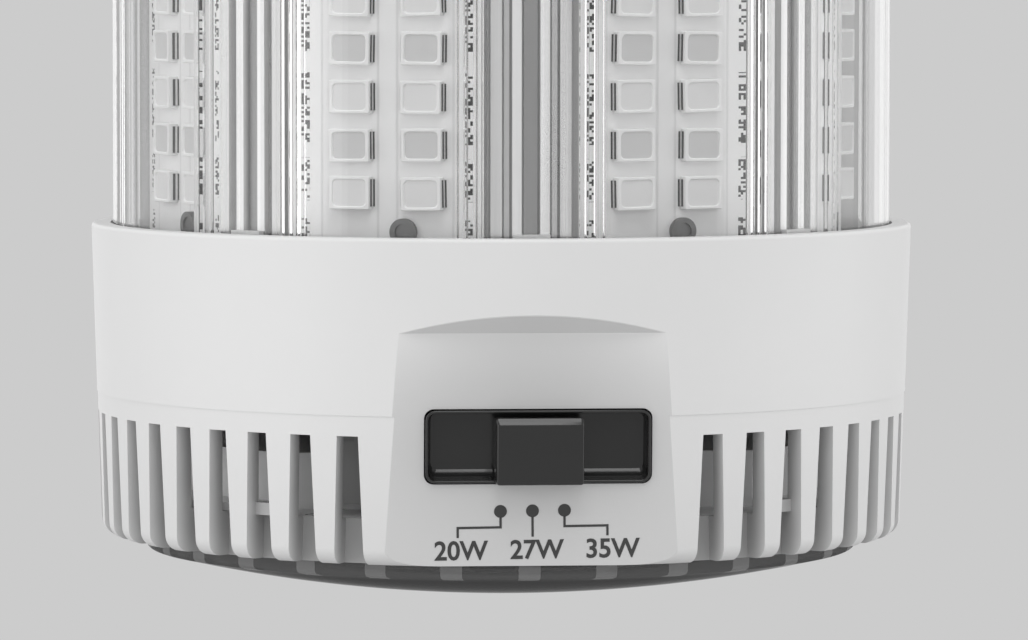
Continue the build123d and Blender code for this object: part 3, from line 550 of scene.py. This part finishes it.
def pressed_core():
    """Pressed aluminium with painted light and shade across each ridge."""
    wire = new_finish("extruded_aluminium")
    place = own_place(wire)
    x, y = split(wire, place)[:2]
    angle = wrapped(wire, angle_round(wire, x, y), sector)
    across = abs(wire.math("TANGENT", angle)) * (ridge_radius / ridge_half)
    # The ramp of painted light and shade across each ridge.
    stops = [(spot, tone(shade)) for spot, shade in ridge_light_and_shade]
    painted_ridge_light = wire.node("ShaderNodeValToRGB", {"stops": stops}, {"Fac": across})
    along = stretched(wire, place, along_axis)
    lines = noise(wire, along, core_lines, line_detail)
    patches = noise(wire, along, core_patches, patch_detail)
    drawn = wash(wire, lines * 0.7 + patches * 0.3, tone(0.72), tone(1.0))
    finish(
        wire,
        Base_Color=wash(wire, 1.0, drawn, painted_ridge_light, blend="MULTIPLY"),
        Roughness=0.16 + 0.24 * patches,
        Metallic=1.0,
        Normal=relief(wire, lines, core_line_depth),
    )


pressed_core()
print("core finish ready, stops across a ridge:", len(ridge_light_and_shade))

# %% [markdown]
# ## Clear tube and smoked lens
# Both are clear plastic that bends light, so the flutes inside the tube repeat what lies behind them. A
# path tracer can't aim at a lamp through a bending surface, and the boards inside would come out dark and
# noisy, so shadow rays pass straight through. The lens is smoke grey: it hardly bends light, and its colour
# hides much of what is behind it. Over each rib the colour is painted lighter, as the light the ribs catch.

# %% Clear finishes
haze_scale = 300.0


def clear_plastic(name, colour, gloss_low, gloss_high, shadow_colour, bending, clearness=1.0):
    """Bending plastic that lets light reach what is behind it. The colour may be a function of the place."""
    wire = new_finish(name)
    place = own_place(wire)
    haze = noise(wire, stretched(wire, place, along_axis), haze_scale, patch_detail)
    sockets = {
        "Base Color": colour(wire, place) if callable(colour) else colour,
        "Roughness": gloss_low + (gloss_high - gloss_low) * haze,
        "Transmission Weight": clearness,
        "IOR": bending,
    }
    clear = wire.node("ShaderNodeBsdfPrincipled", None, sockets)
    through = wire.node("ShaderNodeBsdfTransparent", None, {"Color": shadow_colour})
    shadow = wire.node("ShaderNodeLightPath", output="Is Shadow Ray")
    mixed = wire.node("ShaderNodeMixShader", None, {0: shadow, 1: clear, 2: through})
    wire.node("ShaderNodeOutputMaterial", None, {"Surface": mixed})


clear_plastic("clear_tube", tone(0.99), 0.0, 0.02, tone(0.99), bending=1.49)

# %% Smoke of the lens
lens_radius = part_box("end_lens")[1].x
dome_start, dome_blend = 1.2 * MM, 0.6 * MM
lens_edge = collar_low.z - dome_start
rib_pitch = math.radians(12)
rib_half, rib_reach = 0.9 * MM, 1.5 * MM
rib_end = collar_low.z - rib_reach


def smoke(wire, place):
    """Smoke grey, with painted light over each rib, darker on the dome."""
    x, y, z = split(wire, place)
    angle = wrapped(wire, angle_round(wire, x, y), rib_pitch)
    # Painted light: the smoke is coloured lighter where a rib stands behind it.
    rib_light = stripe(angle, 0.0, rib_half / lens_radius) * (z > rib_end)
    dome = ease(wire, z, lens_edge - dome_blend, lens_edge, first=1.0, last=0.0)
    return wash(wire, rib_light, wash(wire, dome, tone(0.46), tone(0.33)), tone(0.66))


clear_plastic("smoked_lens", smoke, 0.02, 0.06, tone(0.80), bending=1.004, clearness=0.6)
print("clear finishes ready, lens radius, mm:", round(lens_radius / MM, 2))

# %% [markdown]
# ## White boards
# Each LED board is coated in white lacquer. Copper under the lacquer shows as faint raised fields with
# narrow gaps between them, and small printed ticks run along both long edges. The pattern needs the
# distance across a board, which follows from the angle round the lamp. That angle is wrapped again, so one
# finish serves all eight boards. The switch and the driver stand on plain circuit boards.

# %% Board finish
outward = Vector((math.sin(half_turn), -math.cos(half_turn), 0))
board_face = max(outward.dot(vertex.co) for vertex in nodes["led_board_1"].data.vertices)
copper_gap = 0.10 * MM
copper_edge = 5.5 * MM
copper_middle = 0.8 * MM
copper_rise = 0.03 * MM
tick_inner, tick_outer = 6.50 * MM, 7.14 * MM
tick_pitch = 0.18 * MM
tick_column = (tick_outer - tick_inner) / 3
mark_pitch, mark_length = 1.08 * MM, 0.90 * MM
word_scale = 420.0
tick_limit, word_limit = 0.46, 0.36
lacquer_clouds = 250.0
trace_scale, trace_width, plain_clouds = 400.0, 0.06, 500.0


def lacquered_board():
    """White lacquer over copper, with printed ticks along both edges."""
    wire = new_finish("white_board")
    place = own_place(wire)
    x, y, z = split(wire, place)
    azimuth = angle_round(wire, x, y)
    angle = wire.math("WRAP", azimuth, sector, 0.0) - half_turn
    across = wire.math("TANGENT", angle) * board_face
    reach = abs(across)
    edge_gap, middle_gap = (stripe(reach, spot, copper_gap) for spot in (copper_edge, copper_middle))
    gaps = wire.math("MAXIMUM", edge_gap, middle_gap)
    row = wire.math("FLOOR", z / tick_pitch)
    column = wire.math("FLOOR", (across - tick_inner) / tick_column)
    board = wire.math("FLOOR", azimuth / sector)
    tick = wire.node("ShaderNodeCombineXYZ", None, {"X": row, "Y": column, "Z": board})
    ticks = wire.node("ShaderNodeTexWhiteNoise", {"noise_dimensions": "3D"}, {"Vector": tick})
    word_inputs = {"W": z, "Scale": word_scale, "Detail": 0.0}
    words = wire.node("ShaderNodeTexNoise", {"noise_dimensions": "1D"}, word_inputs)
    band = (reach > tick_inner) * (reach < tick_outer)
    marks = wire.math("WRAP", z, mark_pitch, 0.0) < mark_length
    ink = band * marks * (ticks > tick_limit) * (words > word_limit)
    clouds = noise(wire, place, lacquer_clouds, cloud_detail)
    lacquer = wash(wire, clouds, tone(0.955), tone(0.98))
    finish(
        wire,
        Base_Color=wash(wire, ink, wash(wire, gaps, lacquer, tone(0.91)), tone(0.06)),
        Roughness=0.32 + 0.12 * clouds,
        Normal=relief(wire, 1 - gaps, copper_rise),
    )


def plain_board():
    """Ordinary circuit board with traces in two directions."""
    wire = new_finish("circuit_board")
    place = own_place(wire)
    trace_inputs = {"Vector": place, "Scale": trace_scale, "Mortar Size": trace_width}
    traces = wire.node("ShaderNodeTexBrick", None, trace_inputs, output="Fac")
    clouds = noise(wire, place, plain_clouds, cloud_detail)
    lacquer = wash(wire, clouds, tone(0.58), tone(0.63))
    finish(wire, Base_Color=wash(wire, traces, lacquer, tone(0.66)), Roughness=0.35 + 0.15 * clouds)


lacquered_board()
plain_board()
print("boards ready, face at, mm:", round(board_face / MM, 2))

# %% [markdown]
# ## LED packages
# An LED is a white frame round a pale phosphor window, with a solder joint at each end. The rows alternate
# between two kinds of phosphor, one paler than the other. A loft of rounded outlines makes the frame: the
# outlines go up the outer wall, over the edge and down into the window. Real packages are never soldered
# quite straight, so each one is turned and moved a little, by a random generator with a fixed seed.

# %% LED finishes
phosphor_grain = {"grain_depth": 0.006 * MM, "grain_scale": 9000.0}
led_frame = moulded("led_frame", tone(0.97), tone(0.99), 0.35, 0.50, grain_depth=0.002 * MM)
phosphor_pale = moulded("phosphor_pale", tone(0.91), tone(0.94), 0.45, 0.60, **phosphor_grain)
phosphor_deep = moulded("phosphor_deep", tone(0.83), tone(0.86), 0.45, 0.60, **phosphor_grain)
# Painted shade: the dark edges of the solder joints stand for their shade and dark reflections.
joint_shade = moulded("joint_shade", tone(0.10), tone(0.24), 0.30, 0.50, grain_scale=3000.0)
LED_FINISHES = [led_frame, phosphor_pale, phosphor_deep, solder, joint_shade]
FRAME, PALE, DEEP, JOINT, JOINT_SHADE = range(5)
print("LED finishes:", [material.name for material in LED_FINISHES])

# %% LED sizes
led_half_length, led_half_width, led_height = 1.70 * MM, 1.36 * MM, 0.75 * MM
led_outlines = (  # inset in length and in width, corner radius, share of the height
    (0.00 * MM, 0.00 * MM, 0.10 * MM, 0.00),
    (0.02 * MM, 0.02 * MM, 0.10 * MM, 0.90),
    (0.07 * MM, 0.07 * MM, 0.12 * MM, 1.00),
    (0.26 * MM, 0.22 * MM, 0.38 * MM, 1.00),
    (0.33 * MM, 0.29 * MM, 0.38 * MM, 0.86),
)
joint_half, joint_back, bright_strip = 1.10, -0.05, 2
joint_profile = (  # beyond the package's end and above the board, in millimetres
    (joint_back, 0.42),
    (0.03, 0.42),
    (0.06, 0.24),
    (0.12, 0.10),
    (0.23, 0.0),
    (joint_back, 0.0),
)
corner_steps = 4
weld_distance = 0.001 * MM
print("LED package, mm:", round(2 * led_half_length / MM, 2), "x", round(2 * led_half_width / MM, 2))


# %% Outlines and lofts
def rounded_loop(half_x, half_y, radius, level):
    """Outline of a rounded rectangle, as points."""
    points = []
    for quarter, (side_x, side_y) in enumerate(((1, 1), (-1, 1), (-1, -1), (1, -1))):
        for step in range(corner_steps + 1):
            turn = math.pi / 2 * (quarter + step / corner_steps)
            x = side_x * (half_x - radius) + radius * math.cos(turn)
            y = side_y * (half_y - radius) + radius * math.sin(turn)
            points.append(Vector((x, y, level)))
    return points


def loft(shape, loops, finish_index, smooth=False):
    """Skin between outlines of equal count."""
    rings = [[shape.verts.new(point) for point in loop] for loop in loops]
    for lower, upper in zip(rings, rings[1:]):
        for index in range(len(lower)):
            after = (index + 1) % len(lower)
            face = shape.faces.new((lower[index], lower[after], upper[after], upper[index]))
            face.material_index = finish_index
            face.smooth = smooth
    return rings


# %% One LED
def add_led(shape, place, window):
    """One LED package that stands on its own origin, facing +Z, put in place by a matrix."""
    loops = []
    for inset_x, inset_y, radius, share in led_outlines:
        loop = rounded_loop(led_half_length - inset_x, led_half_width - inset_y, radius, led_height * share)
        loops.append([place @ point for point in loop])
    rings = loft(shape, loops, FRAME)
    shape.faces.new(rings[0])
    shape.faces.new(rings[-1]).material_index = window
    for side in (-1, 1):
        add_joint(shape, place @ Matrix.Rotation(0 if side > 0 else math.pi, 4, "Z"))


def add_joint(shape, place):
    """Solder joint at one end of a package: a metal tab with a concave foot, bright between painted-shade
    edges.
    """
    ends = []
    for side in (-joint_half, joint_half):
        points = [Vector((out, side, level)) * MM for out, level in joint_profile]
        ends.append([shape.verts.new(place @ (point + Vector((led_half_length, 0, 0)))) for point in points])
    near, far = ends
    for index in range(len(joint_profile)):
        after = (index + 1) % len(joint_profile)
        face = shape.faces.new((near[index], near[after], far[after], far[index]))
        # The other strips and the end caps are painted dark, as the joint's shade and dark reflections.
        face.material_index = JOINT if index == bright_strip else JOINT_SHADE
    for cap in (near[::-1], far):
        shape.faces.new(cap).material_index = JOINT_SHADE


# %% Solids of a CAD node
def islands(node):
    """Middle of each separate solid of a CAD node."""
    shape = bmesh.new()
    shape.from_mesh(nodes[node].data)
    bmesh.ops.remove_doubles(shape, verts=shape.verts, dist=weld_distance)
    left = set(shape.verts)
    middles = []
    for start in shape.verts:
        if start not in left:
            continue
        left.remove(start)
        front = [start]
        found = []
        while front:
            vertex = front.pop()
            found.append(vertex.co.copy())
            for edge in vertex.link_edges:
                other = edge.other_vert(vertex)
                if other in left:
                    left.remove(other)
                    front.append(other)
        low = Vector(map(min, *found))
        high = Vector(map(max, *found))
        middles.append((low + high) / 2)
    shape.free()
    return middles


# %% From a mesh to a piece
def triangles(piece):
    """Number of triangles in a finished piece."""
    return sum(len(face.vertices) - 2 for face in piece.data.polygons)


def add_piece(name, shape, materials, body="lamp"):
    """Object made from a finished bmesh, riding on a body of the lamp."""
    mesh = bpy.data.meshes.new(name)
    bmesh.ops.recalc_face_normals(shape, faces=shape.faces)
    shape.to_mesh(mesh)
    shape.free()
    for material in materials:
        mesh.materials.append(material)
    piece = bpy.data.objects.new(name, mesh)
    bpy.context.scene.collection.objects.link(piece)
    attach(piece, body)
    return piece


# %% LEDs on the eight boards
seed = 11
placing = random.Random(seed)
skew = math.radians(1.3)
drift = 0.05 * MM
row_gap = 2.0 * MM
for number in range(1, board_count + 1):
    azimuth = sector * (number - 0.5)
    across = Vector((math.cos(azimuth), math.sin(azimuth), 0))
    out = Vector((math.sin(azimuth), -math.cos(azimuth), 0))
    shape = bmesh.new()
    row, last = -1, None
    for middle in sorted(islands(f"leds_{number}"), key=lambda point: (round(point.z, 5), point.dot(across))):
        if last is None or middle.z - last > row_gap:
            row += 1
        last = middle.z
        foot = out * board_face + across * middle.dot(across) + Vector((0, 0, middle.z))
        foot += across * placing.uniform(-drift, drift) + Vector((0, 0, placing.uniform(-drift, drift)))
        upright = Matrix((across, Vector((0, 0, 1)), out)).transposed().to_4x4()
        turn = Matrix.Rotation(placing.uniform(-skew, skew), 4, "Z")
        add_led(shape, Matrix.Translation(foot) @ upright @ turn, DEEP if row % 2 else PALE)
    piece = add_piece(f"led_set_{number}", shape, LED_FINISHES)
    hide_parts(f"leds_{number}")
print("rows on each board:", row + 1, "triangles a board:", triangles(piece))

# %% LEDs behind the end lens
end_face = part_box("end_board")[0].z
shape = bmesh.new()
for middle in islands("end_leds"):
    turn = Matrix.Rotation(math.atan2(middle.x, -middle.y), 4, "Z") @ Matrix.Rotation(math.pi, 4, "X")
    add_led(shape, Matrix.Translation((middle.x, middle.y, end_face)) @ turn, PALE)
end_led_set = add_piece("end_led_set", shape, LED_FINISHES)
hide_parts("end_leds")
print("end LEDs, triangles:", triangles(end_led_set))

# %% [markdown]
# ## A finish for every piece
# The CAD record names a material slot for each piece, and every finish was kept under the name of its slot,
# so a loop can hand them out. The LEDs of the CAD model are hidden behind finer ones, and take the finish
# of the frame.

# %% Hand out finishes
finishes["led_package"] = led_frame
for subpart in frame["record"]["subparts"]:
    mesh = nodes[subpart["node"]].data
    mesh.materials.clear()
    mesh.materials.append(finishes[subpart["material_slot"]])

# %% [markdown]
# ## Print on the pad
# The three switch positions are marked under the switch: a dot for each, a thin line that leads down from
# it, and the power in watts. On the real collar this is pad printing, a film of ink a few hundredths of a
# millimetre thick. Here it is a mesh that stands just clear of the pad. The pad leans back, so everything
# is drawn flat first and then put on the leaning plane by one matrix.

# %% The pad's plane
print_turn = math.radians(0.7)
on_pad = (
    Matrix.Translation(pad_place)
    @ Matrix.Rotation(math.pi / 2 + pad_tilt, 4, "X")
    @ Matrix.Rotation(print_turn, 4, "Z")
)
print("pad middle, mm:", round(pad_middle / MM, 3))

# %% Sizes of dots, leading lines and figures
ink_clear, ink_thick = 0.004 * MM, 0.02 * MM
dot_level = -5.22 * MM
dot_radius = 0.52 * MM
dot_steps = 40
dot_pitch = 2.58 * MM
line_width = 0.19 * MM
line_top = dot_level - dot_radius * 0.9  # just inside the dot
line_end = dot_level - 2.10 * MM
line_bend = dot_level - 1.29 * MM
side_reach = 3.46 * MM
figure_height = 1.60 * MM
figure_width = 4.32 * MM
figure_base = dot_level - 3.93 * MM
figure_bold, figure_steps = 0.020, 4
figures = (("20W", -5.76 * MM), ("27W", 0.36 * MM), ("35W", 6.50 * MM))


def add_slab(shape, outline):
    """Flat film of ink with this outline, on the pad."""
    low = [shape.verts.new((x, y, ink_clear)) for x, y in outline]
    high = [shape.verts.new((x, y, ink_clear + ink_thick)) for x, y in outline]
    shape.faces.new(high)
    shape.faces.new(low[::-1])
    for index in range(len(outline)):
        after = (index + 1) % len(outline)
        shape.faces.new((low[index], low[after], high[after], high[index]))


# %% One set of figures
def add_figure(shape, words, middle):
    """Figures set in Blender's own font and brought to size."""
    curve = bpy.data.curves.new(words, "FONT")
    curve.body = words
    curve.offset = figure_bold
    curve.extrude = figure_bold
    curve.resolution_u = figure_steps
    holder = bpy.data.objects.new(words, curve)
    bpy.context.scene.collection.objects.link(holder)
    flat = bpy.data.meshes.new_from_object(holder.evaluated_get(bpy.context.evaluated_depsgraph_get()))
    bpy.data.objects.remove(holder)
    low = Vector(map(min, *(vertex.co for vertex in flat.vertices)))
    high = Vector(map(max, *(vertex.co for vertex in flat.vertices)))
    for vertex in flat.vertices:
        share_x = (vertex.co.x - low.x) / (high.x - low.x) - 0.5
        share_y = (vertex.co.y - low.y) / (high.y - low.y)
        level = ink_clear + (ink_thick if vertex.co.z > 0 else 0)
        vertex.co = (middle + share_x * figure_width, figure_base + share_y * figure_height, level)
    shape.from_mesh(flat)
    bpy.data.meshes.remove(flat)


# %% Print mesh
shape = bmesh.new()
half_line = line_width / 2
for side in (-1, 0, 1):
    dot_x = side * dot_pitch
    turns = [math.tau * step / dot_steps for step in range(dot_steps)]
    ring = [(dot_x + dot_radius * math.cos(turn), dot_level + dot_radius * math.sin(turn)) for turn in turns]
    add_slab(shape, ring)
    end_x = dot_x + side * side_reach
    edge = side * half_line if side else half_line
    left_side = [(dot_x - edge, line_top), (end_x - edge, line_end)]
    right_side = [(end_x + edge, line_end), (dot_x + edge, line_top)]
    if side:
        left_side[1:1] = [(dot_x - edge, line_bend - half_line), (end_x - edge, line_bend - half_line)]
        right_side[1:1] = [(end_x + edge, line_bend + half_line), (dot_x + edge, line_bend + half_line)]
    add_slab(shape, left_side + right_side)
for words, middle in figures:
    add_figure(shape, words, middle)
bmesh.ops.remove_doubles(shape, verts=shape.verts, dist=weld_distance)
bmesh.ops.transform(shape, matrix=on_pad, verts=shape.verts)
pad_ink = moulded("pad_ink", tone(0.20), tone(0.26), 0.55, 0.70)
pad_print = add_piece("pad_print", shape, [pad_ink])
print("print, triangles:", triangles(pad_print))

# %% [markdown]
# ## Insert and grip of the selector
# The dark insert has a rounded bead round its mouth, and a pocket whose lower wall slopes into the floor.
# In the floor is the slot for the switch lever. The grip is what a finger pushes: a block with drafted
# sides, a lip that overhangs the insert below and a broad sloped edge on top. Edges this small show only as
# thin lines of light, and a Bevel modifier is cramped by the short edges at the corners, so the roundings
# are part of the loft: every section is a rounded rectangle, and more of them follow each other where the
# surface turns.

# %% Sections on the switch
window_offset = 0.5 * MM
on_switch = on_pad @ Matrix.Rotation(-print_turn, 4, "Z") @ Matrix.Translation((window_offset, 0, 0))


def section(depth, left, right, low, high, corner):
    """Rounded rectangle parallel to the pad, at a depth in front of it; sizes in millimetres."""
    loop = rounded_loop((right - left) / 2 * MM, (high - low) / 2 * MM, corner * MM, depth * MM)
    middle = Vector(((left + right) / 2, (low + high) / 2, 0)) * MM
    return [on_switch @ (point + middle) for point in loop]


def quarter(steps):
    """Angles of a quarter turn."""
    return [math.pi / 2 * step / steps for step in range(steps + 1)]


# %% Insert mesh
plug_half, plug_high, plug_corner = 9.10, 2.95, 0.80
plug_front, plug_back = 0.30, -1.5975
flange_half, flange_high, flange_back = 9.95, 3.80, -2.3975
bead_radius, round_steps = 0.125, 6
pocket_floor, side_slope, top_slope, low_slope = -1.20, 0.25, 0.15, 0.75
pocket_wall = (  # share of the depth above the floor, share of the slope
    (0.75, 0.03), (0.45, 0.14), (0.25, 0.32), (0.03, 0.94), (0.0, 1.0)
)
pocket_corner = 0.5
slot_half, slot_high, slot_corner = 3.48, 1.20, 0.1

shape = bmesh.new()
slot_outline = (-slot_half, slot_half, -slot_high, slot_high, slot_corner)
slot_back, slot_front = section(flange_back, *slot_outline), section(pocket_floor, *slot_outline)
shell = [slot_back]
for depth, half, high in (
    (flange_back, flange_half, flange_high),
    (plug_back, flange_half, flange_high),
    (plug_back, plug_half, plug_high),
    (plug_front - bead_radius, plug_half, plug_high),
):
    shell.append(section(depth, -half, half, -high, high, plug_corner))
loft(shape, shell, 0)
turns = quarter(round_steps)
bead = []
for turn in turns + [math.pi - turn for turn in turns[-2::-1]]:
    inset = bead_radius * (1 - math.cos(turn))
    depth = plug_front - bead_radius * (1 - math.sin(turn))
    half, high = plug_half - inset, plug_high - inset
    bead.append(section(depth, -half, half, -high, high, plug_corner - inset))
for height, share in pocket_wall:
    depth = pocket_floor + (plug_front - bead_radius - pocket_floor) * height
    half, high = plug_half - 2 * bead_radius, plug_high - 2 * bead_radius
    wall, low, high = half - side_slope * share, low_slope * share - high, high - top_slope * share
    bead.append(section(depth, -wall, wall, low, high, pocket_corner))
loft(shape, bead, 0, smooth=True)
loft(shape, [bead[-1], slot_front, slot_back], 0)
bmesh.ops.remove_doubles(shape, verts=shape.verts, dist=weld_distance)
insert = add_piece("selector_insert", shape, [dark_plastic])
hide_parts("selector_bezel")
print("insert, triangles:", triangles(insert))

# %% Grip mesh
grip_corner, grip_edge = 0.25, 0.20
lip_back, slope_start, grip_front = 0.45, 1.36, 1.80
grip_left, grip_right, grip_low, grip_high = -3.50, 3.57, -2.92, 2.43
slope_drop, draft = 0.47, 0.05
foot_outline = (-3.55, 3.55, -1.80, 2.15, 0.1)
foot_back, foot_overlap = -1.00, 0.02

shape = bmesh.new()
foot = loft(shape, [section(depth, *foot_outline) for depth in (foot_back, lip_back + foot_overlap)], 0)
block = [
    section(lip_back, grip_left - draft, grip_right, grip_low, grip_high, grip_corner),
    section(slope_start, grip_left, grip_right, grip_low, grip_high, grip_corner),
]
front = []
for turn in quarter(round_steps):
    inset = grip_edge * (1 - math.cos(turn))
    depth = grip_front - grip_edge * (1 - math.sin(turn))
    high = grip_high - slope_drop * (depth - slope_start) / (grip_front - slope_start) - inset / 4
    outline = (grip_left + draft + inset, grip_right - inset, grip_low + inset, high)
    front.append(section(depth, *outline, grip_corner - inset / 2))
sides = loft(shape, block + front[:1], 0)
face = loft(shape, front, 0, smooth=True)
for ring in (foot[0], foot[-1], sides[0], face[-1]):
    shape.faces.new(ring)
bmesh.ops.remove_doubles(shape, verts=shape.verts, dist=weld_distance)
grip = add_piece("selector_grip", shape, [dark_plastic], body="selector")
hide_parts("selector_knob")
print("grip, triangles:", triangles(grip))

# %% [markdown]
# ## Screws of the housing
# Three screws hold the base housing. Each has a domed head with a cross recess, so a screwdriver could turn
# it. A loft works again: circles go up the head, and the last of them turns into the outline of a cross,
# which sinks into the head. For that the circles take their points at the angles of the cross's points.

# %% Outline of a cross
shank_radius, head_radius, head_height = 1.2 * MM, 2.2 * MM, 0.8 * MM
head_profile = ((2.2, 0.0), (2.2, 0.45), (2.12, 0.70), (1.90, 0.87), (1.60, 0.97), (1.45, 1.0))
mouth_arm, mouth_half, root_arm, root_half = 1.25 * MM, 0.32 * MM, 1.00 * MM, 0.22 * MM
recess_level = 0.45 * head_height
edge_parts = 3


def cross_outline(arm, half):
    """Points of a cross, three to each of its twelve edges."""
    quarter_corners = [(arm, -half), (arm, half), (half, half)]
    corners = []
    for turn in range(4):
        spin = Matrix.Rotation(math.pi / 2 * turn, 2)
        corners += [spin @ Vector(corner) for corner in quarter_corners]
    points = []
    for corner, following in zip(corners, corners[1:] + corners[:1]):
        points += [corner.lerp(following, part / edge_parts) for part in range(edge_parts)]
    return points


# %% Screw mesh
shape = bmesh.new()
mouth, root = cross_outline(mouth_arm, mouth_half), cross_outline(root_arm, root_half)
screw_places = islands("housing_screws")
for middle in screw_places:
    out = Vector((middle.x, middle.y, 0)).normalized()
    across = Vector((-out.y, out.x, 0))
    reach = [vertex.co.dot(out) for vertex in nodes["housing_screws"].data.vertices]
    seat = max(reach) - head_height
    tip = min(value for value in reach if value > 0)
    upright = Matrix((across, Vector((0, 0, 1)), out)).transposed().to_4x4()
    driven = Matrix.Rotation(4 * middle.x / head_radius, 4, "Z")  # each was driven to another angle
    place = Matrix.Translation(out * seat + Vector((0, 0, middle.z))) @ upright @ driven
    circles = [(shank_radius, tip - seat), (shank_radius, 0.0)]
    circles += [(radius * MM, head_height * share) for radius, share in head_profile]
    loops = []
    for radius, level in circles:
        loops.append([place @ (point.normalized() * radius).to_3d() + out * level for point in mouth])
    for outline, level in ((mouth, head_height), (root, recess_level)):
        loops.append([place @ point.to_3d() + out * level for point in outline])
    rings = loft(shape, loops, 0)
    shape.faces.new(rings[0])
    shape.faces.new(rings[-1])
screws = add_piece("housing_screw_set", shape, [screw_steel])
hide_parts("housing_screws")
print("screws:", len(screw_places), "triangles:", triangles(screws))
